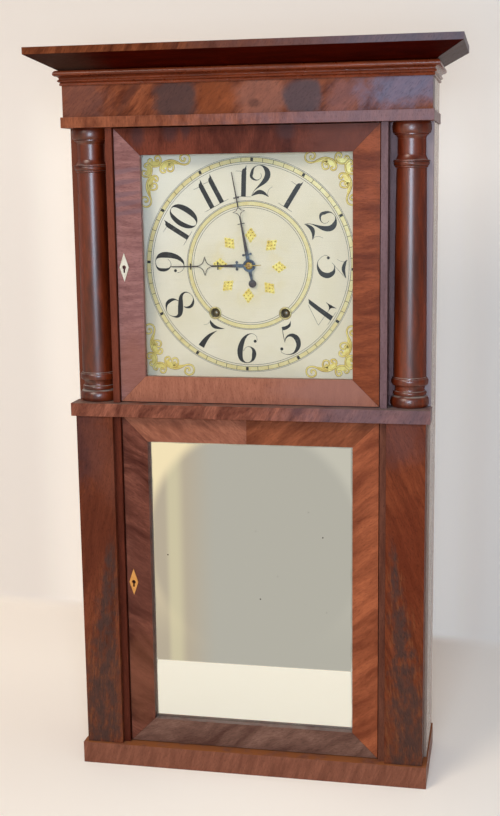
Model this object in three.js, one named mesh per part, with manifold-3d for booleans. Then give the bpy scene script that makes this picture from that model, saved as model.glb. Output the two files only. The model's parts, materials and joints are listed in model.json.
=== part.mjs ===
// A shelf clock with a wooden works: half columns, two glazed doors, painted dial, two weights.
// Millimetres, +Z up, front towards -Y, origin on the ground at the middle of the clock's box.
// "Depth" is measured forwards from the back of the case.
import * as THREE from "three";
import { mergeVertices } from "three/addons/utils/BufferGeometryUtils.js";
import Module from "manifold-3d";

const wasm = await Module();
wasm.setup();

// How far a solid that cuts runs past what it cuts
const cut = 1;

// Heights, stacked from the ground
const baseHeight = 27.7;
const lowerOpeningHeight = 426.3;
const midRailHeight = 16.1;
const upperOpeningHeight = 329.2;
const bandHeight = 12.4;
const friezeFaceHeight = 36.3;
const bedMouldingHeight = 17;
const corniceSlopeRise = 17;
const corniceFasciaHeight = 8;
const midRailBottom = baseHeight + lowerOpeningHeight;
const midRailTop = midRailBottom + midRailHeight;
const bandBottom = midRailTop + upperOpeningHeight;
const friezeFaceBottom = bandBottom + bandHeight;
const bedBottom = friezeFaceBottom + friezeFaceHeight;
const corniceBottom = bedBottom + bedMouldingHeight;
const fasciaBottom = corniceBottom + corniceSlopeRise;
const caseTop = fasciaBottom + corniceFasciaHeight;

// Widths, from the middle out
const openingHalfWidth = 159;
const partitionThickness = 8.2;
const chuteWidth = 37.6;
const sideBoardThickness = 12.2;
const partitionOuter = openingHalfWidth + partitionThickness;
const caseInner = partitionOuter + chuteWidth;
const caseHalfWidth = caseInner + sideBoardThickness;
const stileInset = 3.5;
const returnThickness = 1.8;

// Depths, from the back of the case
const backboardThickness = 10;
const framePlane = 102;
const columnBoardThickness = 12;
const friezeThickness = 25.5;
const partitionProjection = 21.5;
const stileThickness = 28;
const midRailThickness = 31.5;
const baseThickness = 32;
const bandProjection = 4;
const friezeFront = framePlane + friezeThickness;
const columnBoardBack = framePlane - columnBoardThickness;

// Cornice and bed moulding, carried round the front and both sides
const corniceProjection = 34.5;
const slopeStart = 2.4;
const bedProjection = 8.4;
const bedOutlineShares = [
  [0, 0],
  [0.2, 0],
  [0.27, 0.08],
  [0.2, 0.17],
  [0.12, 0.2],
  [0.38, 0.24],
  [0.5, 0.31],
  [0.38, 0.39],
  [0.26, 0.42],
  [0.3, 0.51],
  [0.46, 0.59],
  [0.76, 0.62],
  [0.94, 0.68],
  [1, 0.77],
  [0.94, 0.88],
  [0.78, 0.97],
  [0.6, 1],
  [0, 1],
];

// Boards of the carcass
const bottomBoardThickness = 12;
const topBoardThickness = 12;
const partitionTopGap = 19.5;

// Half columns: share of the radius and of the height from foot to head
const columnRadius = 23.2;
const columnSides = 24;
const columnOutlineShares = [
  [0, 0],
  [0.86, 0],
  [0.97, 0.008],
  [1, 0.02],
  [0.97, 0.033],
  [0.82, 0.041],
  [0.86, 0.05],
  [0.79, 0.059],
  [0.76, 0.069],
  [0.8, 0.079],
  [0.92, 0.082],
  [0.944, 0.092],
  [0.92, 0.103],
  [0.84, 0.108],
  [0.745, 0.842],
  [0.86, 0.846],
  [0.9, 0.856],
  [0.88, 0.868],
  [0.76, 0.876],
  [0.705, 0.9],
  [0.705, 0.94],
  [0.8, 0.954],
  [0.92, 0.96],
  [0.97, 0.977],
  [0.94, 0.993],
  [0.88, 1],
  [0, 1],
];

// Doors
const doorThickness = 17.5;
const doorGap = 1.2;
const doorMember = 31.3;
const rebateWidth = 4;
const rebateDepth = 9.5;
const glassThickness = 2;
const mirrorBackThickness = 5.5;
const glassClearance = 0.5;
const doorHalfWidth = openingHalfWidth - doorGap;
const doorFront = framePlane + doorThickness;
const sightHalfWidth = doorHalfWidth - doorMember;
const pinFromEdge = 3;
const pinFromFront = 2.5;
const pinRadius = 0.9;
const pinClearance = 0.35;
const pinDepthInWood = 8;
const pinX = doorHalfWidth - pinFromEdge;
const pinDepth = doorFront - pinFromFront;

// Diamond keyhole plates
const plateThickness = 1.6;
const plateProud = 0.4;
const plateHalfHeight = 17;
const plateHalfWidth = 5.8;
const plateFromEdge = 8.4;
const plateFit = 0.3;
const keyRadius = 2.5;
const keySlotHalfWidth = 1.1;
const keySlotDrop = 6.5;
const keyDepth = 8;

// Dial
const dialLift = 0.8;
const dialMargin = 4.1;
const dialCentre = midRailTop + upperOpeningHeight / 2 + dialLift;
const sightHalfHeight = upperOpeningHeight / 2 - doorGap - doorMember;
const dialRadius = sightHalfHeight - dialMargin;
const dialFront = 98;
const dialThickness = 6;
const dialEdgeGap = 7.1;
const dialHalfHeight = upperOpeningHeight / 2 - dialEdgeGap;
const dialCentreHole = 6;
const windingHoleRadius = 5.6;
const windingX = 43;
const windingDrop = 57;

// Movement plates
const railThickness = 3;
const railHalfSpan = 74;
const railWidth = 14;
const railTopGap = 17.5;
const railFootGap = 1.4;
const railTop = corniceBottom - railTopGap;
const railFoot = midRailTop + railFootGap;
const plateWood = 6;
const plateGap = 47;
const movementHalfWidth = 106;
const movementRise = 84;
const movementFall = 122;
const pillarRadius = 5;
const pillarUpperX = 80;
const pillarLowerX = 84;
const pillarInset = 8;
const pivotHole = 0.5;
const pivotSides = 8;
const backPlateBack = backboardThickness + railThickness;
const backPlateFront = backPlateBack + plateWood;
const frontPlateBack = backPlateFront + plateGap;
const frontPlateFront = frontPlateBack + plateWood;
const pivotEnd = 1;
const running = 0.4;

// Arbors
const heavyArbor = 3;
const minuteArborRadius = 2;
const lightArbor = 1.5;
const studRadius = 1.5;

// Teeth: height above and below the pitch line in modules, widths as shares of the pitch
const wheelTooth = { tipShare: 0.85, rootShare: 1.35 };
const leafTooth = { tipShare: 0.6, rootShare: 1.3, tipWidthShare: 0.1, rootWidthShare: 0.36 };

// Tooth counts, and the modules that are not set by a distance
const timeGreatTeeth = 60;
const minutePinionLeaves = 10;
const minuteWheelTeeth = 54;
const smallPinionLeaves = 6;
const thirdWheelTeeth = 57;
const escapeTeeth = 42;
const strikeGreatTeeth = 48;
const pinWheelPinionLeaves = 8;
const pinWheelTeeth = 48;
const strikeThirdTeeth = 48;
const motionPinionLeaves = 10;
const motionWheelTeeth = 30;
const hourPinionLeaves = 8;
const hourWheelTeeth = 32;
const minuteModule = 1.4;
const thirdModule = 1.05;
const strikeGreatModule = 1.6;
const pinWheelModule = 1.6;
const strikeThirdPitchRadius = 24;
const strikeThirdModule = (2 * strikeThirdPitchRadius) / strikeThirdTeeth;
const motionModule = 1.3;

// Directions from one arbor to the next, degrees from +X towards +Z as seen from the front
const toThirdDegrees = 28;
const toEscapeDegrees = 135;
const toPinWheelDegrees = 95;
const toStrikeThirdDegrees = 73;
const toFlyDegrees = 135;
const toMotionDegrees = 180;

// Layers of the movement: where each wheel's back face lies in front of the back plate, and thicknesses
const wheelThickness = 3.5;
const greatThickness = 4.5;
const pinionOverlap = 1;
const drumSetback = 2;
const drumLength = 16;
const drumRadius = 13.5;
const drumFlange = 16.5;
const drumFlangeThickness = 1.5;
const thirdLayer = 5;
const strikeGreatLayer = 20;
const countLayer = 18.4;
const countThickness = 1.3;
const timeGreatLayer = 27;
const pinWheelLayer = 33.5;
const minuteLayer = 39;
const escapeLayer = 43.4;
const escapeThickness = 1.5;
const escapeRadius = 20;
const escapeToothDepth = 3.5;
const escapeToothBackShare = 1 / 8;
const countRadius = 33;
const countNotchDepth = 4;
const blowCount = 78;
const strikePins = 13;
const strikePinRadius = 1.2;
const strikePinCircle = 30;
const strikePinLength = 4;
const flyHalfLength = 15;
const flyHalfThickness = 0.8;
const flyStart = 11;
const flyLength = 16;

// Verge, crutch and pendulum
const vergeRise = 28;
const vergeBandInner = 23;
const vergeBandOuter = 25.4;
const palletInner = 21.7;
const palletHalfDegrees = 55;
const palletWidthDegrees = 6;
const vergeHub = 4;
const vergeWidth = 3;
const vergeLayer = 42.7;
const rodRadius = 1;
const rodDepth = 86;
const crutchDrop = 30;
const crutchGap = 0.5;
const crutchWire = 1.2;
const crutchStandoff = 2;
const pendulumLength = 253;
const bobRadius = 25;
const bobHalfThickness = 5.5;
const bobSides = 24;
const bobGap = 0.3;
const bobOutlineShares = [
  [0, -1],
  [0.5, -0.875],
  [0.875, -0.5],
  [1, -0.125],
  [1, 0.125],
  [0.875, 0.5],
  [0.5, 0.875],
  [0, 1],
];
const cockWidth = 4;
const cockRise = 8;
const cockThickness = 4;
const rodRing = 2.6;
const rodRingHole = 1.7;
const cockStud = 1.1;

// Motion work in front of the front plate
const motionPinionLayer = 2;
const motionWheelThickness = 2.8;
const hourPinionGap = 0.5;
const hourWheelThickness = 2.4;
const hourPipeInner = 2.6;
const hourPipeOuter = 4.3;

// Hands
const handThickness = 0.8;
const handLift = 0.8;
const handGap = 1;
const handBoss = 7.6;
const arborTip = 2.2;
const minuteHandDegrees = 349.8;
const hourHandDegrees = 269.15;
const hourCount = 12;
const minuteHandGap = 16;
const hourHandGap = 31.5;
const minuteHandLength = dialRadius - minuteHandGap;
const hourHandLength = dialRadius - hourHandGap;
const collarGap = 0.3;
const handSides = 16;

// The hands' outlines as shares of their length: places along the hand, half widths, line widths,
// and the radius of the round ends of the cross bars
const sideStepShares = [1 / 3, 2 / 3];
const drawInShare = 1.5;
const minuteHandDesign = {
  bladeShares: [
    [0.03, 0.02],
    [0.13, 0.019],
    [0.45, 0.008],
    [1, 0.0045],
  ],
  crossbarShares: [
    [0.12, 0.053, 0.016, 0.013],
    [0.45, 0.038, 0.009, 0.006],
    [0.727, 0.032, 0.013, 0.009],
  ],
  diamondShares: [0.515, 0.645, 0.07, 0.013],
  discShares: [-0.195, 0.042],
  tailShares: [
    [-0.17, 0.012],
    [-0.05, 0.02],
  ],
};
const hourHandDesign = {
  bladeShares: [
    [0.04, 0.022],
    [0.16, 0.021],
    [0.4, 0.01],
    [1, 0.006],
  ],
  crossbarShares: [
    [0.158, 0.06, 0.019, 0.017],
    [0.4, 0.047, 0.013, 0.01],
    [0.75, 0.038, 0.013, 0.009],
  ],
  diamondShares: [0.465, 0.67, 0.12, 0.017],
};

// Strike hammer and bell
const hammerX = -92;
const hammerDrop = 75;
const hammerWire = 1.3;
const hammerHeadRadius = 4.5;
const hammerHeadLength = 8;
const hammerTailLength = 43;
const hammerTailDegrees = 58;
const bellX = -78;
const bellPlateGap = 7.5;
const bellRadius = 28;
const bellWall = 2.4;
const bellMouth = 34;
const bellHeight = 20;
const bellPost = 2.6;
const bellNut = 5;
const bellSides = 20;
const hammerGap = 0.8;

// Weights, pulleys and cords
const cordRadius = 0.9;
const pulleyRadius = 18;
const grooveDepth = 1.6;
const grooveWidth = 2;
const pulleyThickness = 6;
const pulleySides = 24;
const pulleyRise = 3;
const cordDepth = 29;
const axleRadius = 1.5;
const axleOverhang = 6;
const slotClearance = 1.5;
const cordLead = 2.5;
const weightRadius = 16.5;
const weightLength = 205;
const weightSides = 14;
const weightChamfer = 3;
const eyeRadius = 3.2;
const eyeHeight = 8;
const weightFloorGap = 1.5;
const cordEnd = 0.3;
const cordRide = pulleyRadius - grooveDepth + cordRadius + cordEnd;
const weightX = partitionOuter + chuteWidth / 2;
const pulleyX = weightX - cordRide;

// Finishes, one colour, roughness and metalness each
const finishes = {
  mahogany: [0x6a2c14, 0.35, 0],
  darkMahogany: [0x3a160c, 0.25, 0],
  orangeMahogany: [0x8a3c18, 0.4, 0],
  secondaryWood: [0x8f7657, 0.8, 0],
  movementWood: [0xa07a48, 0.7, 0],
  paintedDial: [0xe3dcc4, 0.6, 0],
  bone: [0xe9e2cc, 0.5, 0],
  maple: [0xc79a5b, 0.5, 0],
  glass: [0xdfe8e4, 0.05, 0],
  mirror: [0xc9cfc6, 0.05, 1],
  steel: [0x3c4654, 0.35, 1],
  brass: [0xb58a3c, 0.3, 1],
  castIron: [0x35332f, 0.7, 1],
  cord: [0xb9a983, 0.9, 0],
};

const clock = new THREE.Group();
const halfDepth = (friezeFront + corniceProjection) / 2;
const full = Math.PI * 2;

// A closed geometry as a manifold solid, with its faces pointing out
function solidOf(geometry) {
  const bare = new THREE.BufferGeometry();
  const loose = geometry.index ? geometry.toNonIndexed() : geometry;
  bare.setAttribute("position", loose.getAttribute("position"));
  const merged = mergeVertices(bare, 1e-4);
  const corners = merged.index.array;
  const kept = [];
  for (let i = 0; i < corners.length; i += 3) {
    const [a, b, c] = [corners[i], corners[i + 1], corners[i + 2]];
    if (a !== b && b !== c && c !== a) kept.push(a, b, c);
  }
  const make = (triVerts) =>
    new wasm.Manifold(
      new wasm.Mesh({
        numProp: 3,
        vertProperties: merged.attributes.position.array,
        triVerts: new Uint32Array(triVerts),
      }),
    );
  const solid = make(kept);
  if (solid.volume() > 0) return solid;
  const turned = [];
  for (let i = 0; i < kept.length; i += 3) turned.push(kept[i], kept[i + 2], kept[i + 1]);
  return make(turned);
}

function joined(...solids) {
  return solids.reduce((whole, next) => whole.add(next));
}

// Adds a solid to the clock as a named mesh with a finish of its own
function piece(name, solid, finish) {
  const data = solid.getMesh();
  const geometry = new THREE.BufferGeometry();
  geometry.setAttribute("position", new THREE.BufferAttribute(new Float32Array(data.vertProperties), 3));
  geometry.setIndex(new THREE.BufferAttribute(new Uint32Array(data.triVerts), 1));
  geometry.computeVertexNormals();
  const [color, roughness, metalness] = finishes[finish];
  const mesh = new THREE.Mesh(geometry, new THREE.MeshStandardMaterial({ color, roughness, metalness }));
  mesh.name = name;
  clock.add(mesh);
}

function toY(depth) {
  return halfDepth - depth;
}

// A box between two x, two depths and two heights
function block(x0, x1, depth0, depth1, z0, z1) {
  const box = new THREE.BoxGeometry(x1 - x0, depth1 - depth0, z1 - z0);
  box.translate((x0 + x1) / 2, toY((depth0 + depth1) / 2), (z0 + z1) / 2);
  return solidOf(box);
}

// A THREE.Shape from a list of points
function outline(points) {
  return new THREE.Shape(points.map(([x, y]) => new THREE.Vector2(x, y)));
}

// An outline in x and z, extruded between two depths
function facing(shape, depth0, depth1) {
  const settings = { depth: depth1 - depth0, bevelEnabled: false, curveSegments: 6 };
  const body = new THREE.ExtrudeGeometry(shape, settings);
  body.rotateX(Math.PI / 2);
  body.translate(0, toY(depth0), 0);
  return solidOf(body);
}

// An outline in depth and z, extruded between two x
function sideways(points, x0, x1) {
  const shape = outline(points.map(([depth, z]) => [toY(depth), z]));
  const body = new THREE.ExtrudeGeometry(shape, { depth: x1 - x0, bevelEnabled: false });
  body.rotateX(Math.PI / 2);
  body.rotateZ(Math.PI / 2);
  body.translate(x0, 0, 0);
  return solidOf(body);
}

// A profile of [radius, depth] turned about an axis that runs forwards through x, z
function turnedForward(profile, x, z, sides) {
  const body = new THREE.LatheGeometry(
    profile.map(([radius, depth]) => new THREE.Vector2(radius, depth)),
    sides,
  );
  body.rotateX(Math.PI);
  body.translate(x, halfDepth, z);
  return solidOf(body);
}

// A profile of [radius, z] turned about an upright axis through x and a depth
function turnedUpright(profile, x, depth, sides) {
  const body = new THREE.LatheGeometry(
    profile.map(([radius, z]) => new THREE.Vector2(radius, z)),
    sides,
  );
  body.rotateX(Math.PI / 2);
  body.translate(x, toY(depth), 0);
  return solidOf(body);
}

function bar(x, z, radius, depth0, depth1, sides = pivotSides) {
  return turnedForward(
    [
      [0, depth0],
      [radius, depth0],
      [radius, depth1],
      [0, depth1],
    ],
    x,
    z,
    sides,
  );
}

function pin(x, depth, radius, z0, z1) {
  return turnedUpright(
    [
      [0, z0],
      [radius, z0],
      [radius, z1],
      [0, z1],
    ],
    x,
    depth,
    pivotSides,
  );
}

// A straight wire between two points given as x, depth, z
function wire(from, to, radius, sides = 6) {
  const start = new THREE.Vector3(from[0], toY(from[1]), from[2]);
  const end = new THREE.Vector3(to[0], toY(to[1]), to[2]);
  const body = new THREE.CylinderGeometry(radius, radius, start.distanceTo(end), sides);
  const along = end.clone().sub(start).normalize();
  body.applyQuaternion(new THREE.Quaternion().setFromUnitVectors(new THREE.Vector3(0, 1, 0), along));
  const middle = start.add(end).multiplyScalar(1 / 2);
  body.translate(middle.x, middle.y, middle.z);
  return solidOf(body);
}

// A moulding profile of [offset, z] carried round the left side, the front and the right side of the case.
// The offset is counted outwards from the case, and its share on the sides may be smaller.
function roundThreeSides(profile, front, sideShare = 1) {
  const stations = profile.map(([offset, z]) => {
    const x = caseHalfWidth + offset * sideShare;
    const y = toY(front + offset);
    return [
      [-x, toY(0), z],
      [-x, y, z],
      [x, y, z],
      [x, toY(0), z],
    ];
  });
  const corners = stations.flat(2);
  const perPoint = stations[0].length;
  const faces = [];
  profile.forEach((_, j) => {
    const next = (j + 1) % profile.length;
    for (let i = 0; i + 1 < perPoint; i += 1) {
      const [a, b] = [j * perPoint + i, j * perPoint + i + 1];
      const [c, d] = [next * perPoint + i + 1, next * perPoint + i];
      faces.push(a, b, c, a, c, d);
    }
  });
  const flat = profile.map(([offset, z]) => new THREE.Vector2(offset, z));
  const last = perPoint - 1;
  const area = THREE.ShapeUtils.area(flat);
  THREE.ShapeUtils.triangulateShape(flat, []).forEach(([a, b, c]) => {
    const sameWay = THREE.ShapeUtils.area([flat[a], flat[b], flat[c]]) * area > 0;
    const [p, q] = sameWay ? [b, c] : [c, b];
    faces.push(a * perPoint, p * perPoint, q * perPoint);
    faces.push(a * perPoint + last, q * perPoint + last, p * perPoint + last);
  });
  const body = new THREE.BufferGeometry();
  body.setAttribute("position", new THREE.BufferAttribute(new Float32Array(corners), 3));
  body.setIndex(faces);
  return solidOf(body);
}

function onBothSides(make) {
  return [
    ["left", -1],
    ["right", 1],
  ].forEach(([side, sign]) => make(side, sign));
}

// The x range of something that runs from inner to outer on one side
function span(sign, inner, outer) {
  return sign > 0 ? [inner, outer] : [-outer, -inner];
}

// Carcass
function buildCarcass() {
  const backTop = corniceBottom + topBoardThickness;
  piece("backboard", block(-caseInner, caseInner, 0, backboardThickness, 0, backTop), "secondaryWood");
  piece(
    "bottom_board",
    block(-caseInner, caseInner, backboardThickness, framePlane, 0, bottomBoardThickness),
    "secondaryWood",
  );
  onBothSides((side, sign) => {
    const [x0, x1] = span(sign, caseInner, caseHalfWidth);
    const sideBoard = [
      [0, 0],
      [framePlane, 0],
      [framePlane, midRailTop],
      [columnBoardBack, midRailTop],
      [columnBoardBack, corniceBottom],
      [0, corniceBottom],
    ];
    piece(`${side}_side_board`, sideways(sideBoard, x0, x1), "secondaryWood");

    const [p0, p1] = span(sign, openingHalfWidth, partitionOuter);
    const front = framePlane + partitionProjection;
    const partition = [
      [backboardThickness, bottomBoardThickness],
      [framePlane, bottomBoardThickness],
      [framePlane, baseHeight],
      [front, baseHeight],
      [front, midRailBottom],
      [framePlane, midRailBottom],
      [framePlane, midRailTop],
      [front, midRailTop],
      [front, bandBottom],
      [framePlane, bandBottom],
      [framePlane, corniceBottom - partitionTopGap],
      [backboardThickness, corniceBottom - partitionTopGap],
    ];
    piece(`${side}_channel_partition`, sideways(partition, p0, p1), "mahogany");
  });
}

// The top board has a slot for each pulley and bores for the pulleys' axles
function buildTopBoard() {
  const back = backboardThickness;
  const front = friezeFront - sideBoardThickness;
  let board = block(-caseInner, caseInner, back, front, corniceBottom, corniceBottom + topBoardThickness);
  onBothSides((_, sign) => {
    const half = pulleyRadius + slotClearance;
    const x = sign * pulleyX;
    const [x0, x1] = span(sign, pulleyX - half - cordLead, pulleyX + half);
    const [d0, d1] = slotDepths();
    board = board.subtract(block(x0, x1, d0, d1, corniceBottom - cut, caseTop));
    const axleBack = d0 - axleOverhang - running;
    const axleFront = d1 + axleOverhang + running;
    board = board.subtract(bar(x, pulleyAxis(), axleRadius + pivotHole, axleBack, axleFront));
  });
  piece("top_board", board, "secondaryWood");
}

function slotDepths() {
  const half = pulleyThickness / 2 + slotClearance;
  return [cordDepth - half, cordDepth + half];
}

function pulleyAxis() {
  return corniceBottom + pulleyRise;
}

// Mouldings and the flat face work
function buildFront() {
  const inner = -sideBoardThickness;
  piece(
    "cornice",
    roundThreeSides(
      [
        [inner, corniceBottom],
        [slopeStart, corniceBottom],
        [corniceProjection, fasciaBottom],
        [corniceProjection, caseTop],
        [inner, caseTop],
      ],
      friezeFront,
    ),
    "mahogany",
  );
  piece(
    "bed_moulding",
    roundThreeSides(
      bedOutlineShares.map(([out, up]) => [out * bedProjection, bedBottom + up * bedMouldingHeight]),
      friezeFront,
    ),
    "mahogany",
  );
  piece(
    "frieze_band",
    roundThreeSides(
      [
        [0, bandBottom],
        [bandProjection, bandBottom],
        [bandProjection, friezeFaceBottom],
        [0, friezeFaceBottom],
      ],
      friezeFront,
      returnThickness / bandProjection,
    ),
    "darkMahogany",
  );
  const bored = (solid, z0, z1) => solid.subtract(pin(pinX, pinDepth, pinRadius + pinClearance, z0, z1));
  piece(
    "frieze_board",
    bored(
      block(-caseHalfWidth, caseHalfWidth, framePlane, friezeFront, bandBottom, corniceBottom),
      bandBottom - cut,
      bandBottom + pinDepthInWood + pinClearance,
    ),
    "mahogany",
  );

  const railEnd = caseHalfWidth + returnThickness;
  let rail = block(-railEnd, railEnd, framePlane, framePlane + midRailThickness, midRailBottom, midRailTop);
  rail = bored(rail, midRailTop - midRailHeight / 2 + cut, midRailTop + cut);
  rail = bored(rail, midRailBottom - cut, midRailTop - midRailHeight / 2 - cut);
  piece("mid_rail", rail, "darkMahogany");

  const returns = roundThreeSides(
    [
      [0, 0],
      [returnThickness, 0],
      [returnThickness, baseHeight],
      [0, baseHeight],
    ],
    framePlane + baseThickness - returnThickness,
  );
  const baseBarFront = framePlane + baseThickness - returnThickness / 2;
  const baseBar = block(-caseHalfWidth, caseHalfWidth, framePlane, baseBarFront, 0, baseHeight);
  piece(
    "base_moulding",
    bored(joined(returns, baseBar), baseHeight - pinDepthInWood - pinClearance, baseHeight + cut),
    "mahogany",
  );

  onBothSides((side, sign) => {
    const [x0, x1] = span(sign, partitionOuter, caseHalfWidth - stileInset);
    piece(
      `${side}_stile`,
      block(x0, x1, framePlane, framePlane + stileThickness, baseHeight, midRailBottom),
      sign > 0 ? "orangeMahogany" : "mahogany",
    );
    const [b0, b1] = span(sign, partitionOuter, caseHalfWidth);
    piece(
      `${side}_column_board`,
      block(b0, b1, columnBoardBack, framePlane, midRailTop, corniceBottom),
      "darkMahogany",
    );
    const profile = columnOutlineShares.map(([radius, up]) => [
      radius * columnRadius,
      midRailTop + up * upperOpeningHeight,
    ]);
    const x = sign * ((partitionOuter + caseHalfWidth) / 2);
    const whole = turnedUpright(profile, x, framePlane, columnSides);
    const half = block(
      x - 2 * columnRadius,
      x + 2 * columnRadius,
      framePlane,
      framePlane + 2 * columnRadius,
      midRailTop - cut,
      bandBottom + cut,
    );
    piece(`${side}_column`, whole.intersect(half), "darkMahogany");
  });
}

// Diamond keyhole plate: its outline at a place, grown by a clearance
function diamond(x, z, grow) {
  const [w, h] = [plateHalfWidth + grow, plateHalfHeight + grow];
  return outline([
    [x - w, z],
    [x, z - h],
    [x + w, z],
    [x, z + h],
  ]);
}

function keyhole(x, z, depth0, depth1) {
  return joined(
    bar(x, z, keyRadius, depth0, depth1, 10),
    block(x - keySlotHalfWidth, x + keySlotHalfWidth, depth0, depth1, z - keySlotDrop, z),
  );
}

// One door: frame with a rebate behind, panes, keyhole plate and the two hinge pins at its right corners
function buildDoor(name, bottom, top, paneName, paneFinish, plateFinish, backName) {
  const outer = block(-doorHalfWidth, doorHalfWidth, framePlane, doorFront, bottom, top);
  const [low, high] = [bottom + doorMember, top - doorMember];
  const sight = block(-sightHalfWidth, sightHalfWidth, framePlane - cut, doorFront + cut, low, high);
  const wide = sightHalfWidth + rebateWidth;
  const rebate = block(
    -wide,
    wide,
    framePlane - cut,
    framePlane + rebateDepth,
    low - rebateWidth,
    high + rebateWidth,
  );
  const plateX = -doorHalfWidth + plateFromEdge;
  const plateZ = (bottom + top) / 2;
  const plateBack = doorFront - (plateThickness - plateProud);
  const recess = facing(diamond(plateX, plateZ, plateFit), plateBack, doorFront + cut);
  const keyCut = keyhole(plateX, plateZ, doorFront - keyDepth, doorFront + cut);
  const bore = pinRadius + pinClearance;
  const deep = pinDepthInWood + pinClearance;
  const frame = outer
    .subtract(sight)
    .subtract(rebate)
    .subtract(recess)
    .subtract(keyCut)
    .subtract(pin(pinX, pinDepth, bore, bottom - cut, bottom + deep))
    .subtract(pin(pinX, pinDepth, bore, top - deep, top + cut));
  piece(`${name}_frame`, frame, "mahogany");

  const paneHalf = wide - glassClearance;
  const [paneLow, paneHigh] = [low - rebateWidth + glassClearance, high + rebateWidth - glassClearance];
  const paneFront = framePlane + rebateDepth;
  const paneBack = paneFront - glassThickness;
  piece(paneName, block(-paneHalf, paneHalf, paneBack, paneFront, paneLow, paneHigh), paneFinish);
  if (backName) {
    piece(
      backName,
      block(-paneHalf, paneHalf, paneBack - mirrorBackThickness, paneBack, paneLow, paneHigh),
      "secondaryWood",
    );
  }

  const plate = facing(diamond(plateX, plateZ, 0), plateBack, doorFront + plateProud);
  piece(
    `${name.split("_")[0]}_escutcheon`,
    plate.subtract(keyhole(plateX, plateZ, plateBack - cut, doorFront + cut)),
    plateFinish,
  );
  piece(`${name}_top_pin`, pin(pinX, pinDepth, pinRadius, top - pinDepthInWood, top + pinReach()), "steel");
  const lowPin = pin(pinX, pinDepth, pinRadius, bottom - pinReach(), bottom + pinDepthInWood);
  piece(`${name}_bottom_pin`, lowPin, "steel");
}

// How far a hinge pin runs out of the door: over the gap and into the case
function pinReach() {
  return doorGap + Math.min(pinDepthInWood, midRailHeight / 2 - 2 * cut);
}

function buildDoors() {
  buildDoor("upper_door", midRailTop + doorGap, bandBottom - doorGap, "upper_door_glass", "glass", "bone");
  buildDoor(
    "lower_door",
    baseHeight + doorGap,
    midRailBottom - doorGap,
    "mirror",
    "mirror",
    "maple",
    "mirror_backing",
  );
}

// Teeth round a pitch circle, with a single point at a wheel tooth's tip and four points on a pinion leaf
function toothedOutline(teeth, module, tooth, turn) {
  const pitchRadius = (teeth * module) / 2;
  const tip = pitchRadius + tooth.tipShare * module;
  const root = pitchRadius - tooth.rootShare * module;
  const points = [];
  const at = (radius, share, i) => {
    const angle = turn + ((i + share) * full) / teeth;
    points.push([radius * Math.cos(angle), radius * Math.sin(angle)]);
  };
  for (let i = 0; i < teeth; i += 1) {
    if (tooth.tipWidthShare) {
      at(root, -tooth.rootWidthShare / 2, i);
      at(tip, -tooth.tipWidthShare / 2, i);
      at(tip, tooth.tipWidthShare / 2, i);
      at(root, tooth.rootWidthShare / 2, i);
    } else {
      at(tip, 0, i);
      at(root, 1 / 2, i);
    }
  }
  return points;
}

function moved(points, place) {
  return points.map(([x, y]) => [x + place.x, y + place.z]);
}

function toothed(teeth, module, tooth, place, turn, depth0, depth1) {
  return facing(outline(moved(toothedOutline(teeth, module, tooth, turn), place)), depth0, depth1);
}

// Where the next arbor lies for a wheel and a pinion in mesh, and how the pinion has to be turned
function meshed(place, wheelTeeth, pinionTeeth, module, degrees) {
  const distance = ((wheelTeeth + pinionTeeth) * module) / 2;
  const direction = THREE.MathUtils.degToRad(degrees);
  return {
    x: place.x + distance * Math.cos(direction),
    z: place.z + distance * Math.sin(direction),
    turn: meshedTurn(direction, wheelTeeth, pinionTeeth, 0),
  };
}

// The turn of a follower whose gap meets the driver's tooth on the line between them
function meshedTurn(direction, driverTeeth, followerTeeth, driverTurn) {
  const off = driverTurn - direction;
  return direction + Math.PI - (driverTeeth / followerTeeth) * off + Math.PI / followerTeeth;
}

// Places of the arbors, seen from the front
const centre = { x: 0, z: dialCentre };
const timeGreat = { x: windingX, z: dialCentre - windingDrop };
const strikeGreat = { x: -windingX, z: dialCentre - windingDrop };
const timeGreatDistance = Math.hypot(windingX, windingDrop);
const timeGreatModule = (2 * timeGreatDistance) / (timeGreatTeeth + minutePinionLeaves);
const toCentre = Math.atan2(windingDrop, -windingX);
const minutePinionTurn = meshedTurn(toCentre, timeGreatTeeth, minutePinionLeaves, 0);
const third = meshed(centre, minuteWheelTeeth, smallPinionLeaves, minuteModule, toThirdDegrees);
const escape = meshed(third, thirdWheelTeeth, smallPinionLeaves, thirdModule, toEscapeDegrees);
const verge = { x: escape.x, z: escape.z + vergeRise };
const pinWheel = meshed(
  strikeGreat,
  strikeGreatTeeth,
  pinWheelPinionLeaves,
  strikeGreatModule,
  toPinWheelDegrees,
);
const strikeThird = meshed(pinWheel, pinWheelTeeth, smallPinionLeaves, pinWheelModule, toStrikeThirdDegrees);
const fly = meshed(strikeThird, strikeThirdTeeth, smallPinionLeaves, strikeThirdModule, toFlyDegrees);
const motion = meshed(centre, motionWheelTeeth, motionPinionLeaves, motionModule, toMotionDegrees);
const hammer = { x: hammerX, z: dialCentre - hammerDrop };

function layer(offset) {
  return backPlateFront + offset;
}

const arborBack = backPlateBack + pivotEnd;
const arborFront = frontPlateFront - pivotEnd;
const plateBores = [
  [timeGreat, heavyArbor],
  [strikeGreat, heavyArbor],
  [centre, minuteArborRadius],
  [third, lightArbor],
  [escape, lightArbor],
  [verge, lightArbor],
  [pinWheel, lightArbor],
  [strikeThird, lightArbor],
  [fly, lightArbor],
  [hammer, lightArbor],
];

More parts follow.
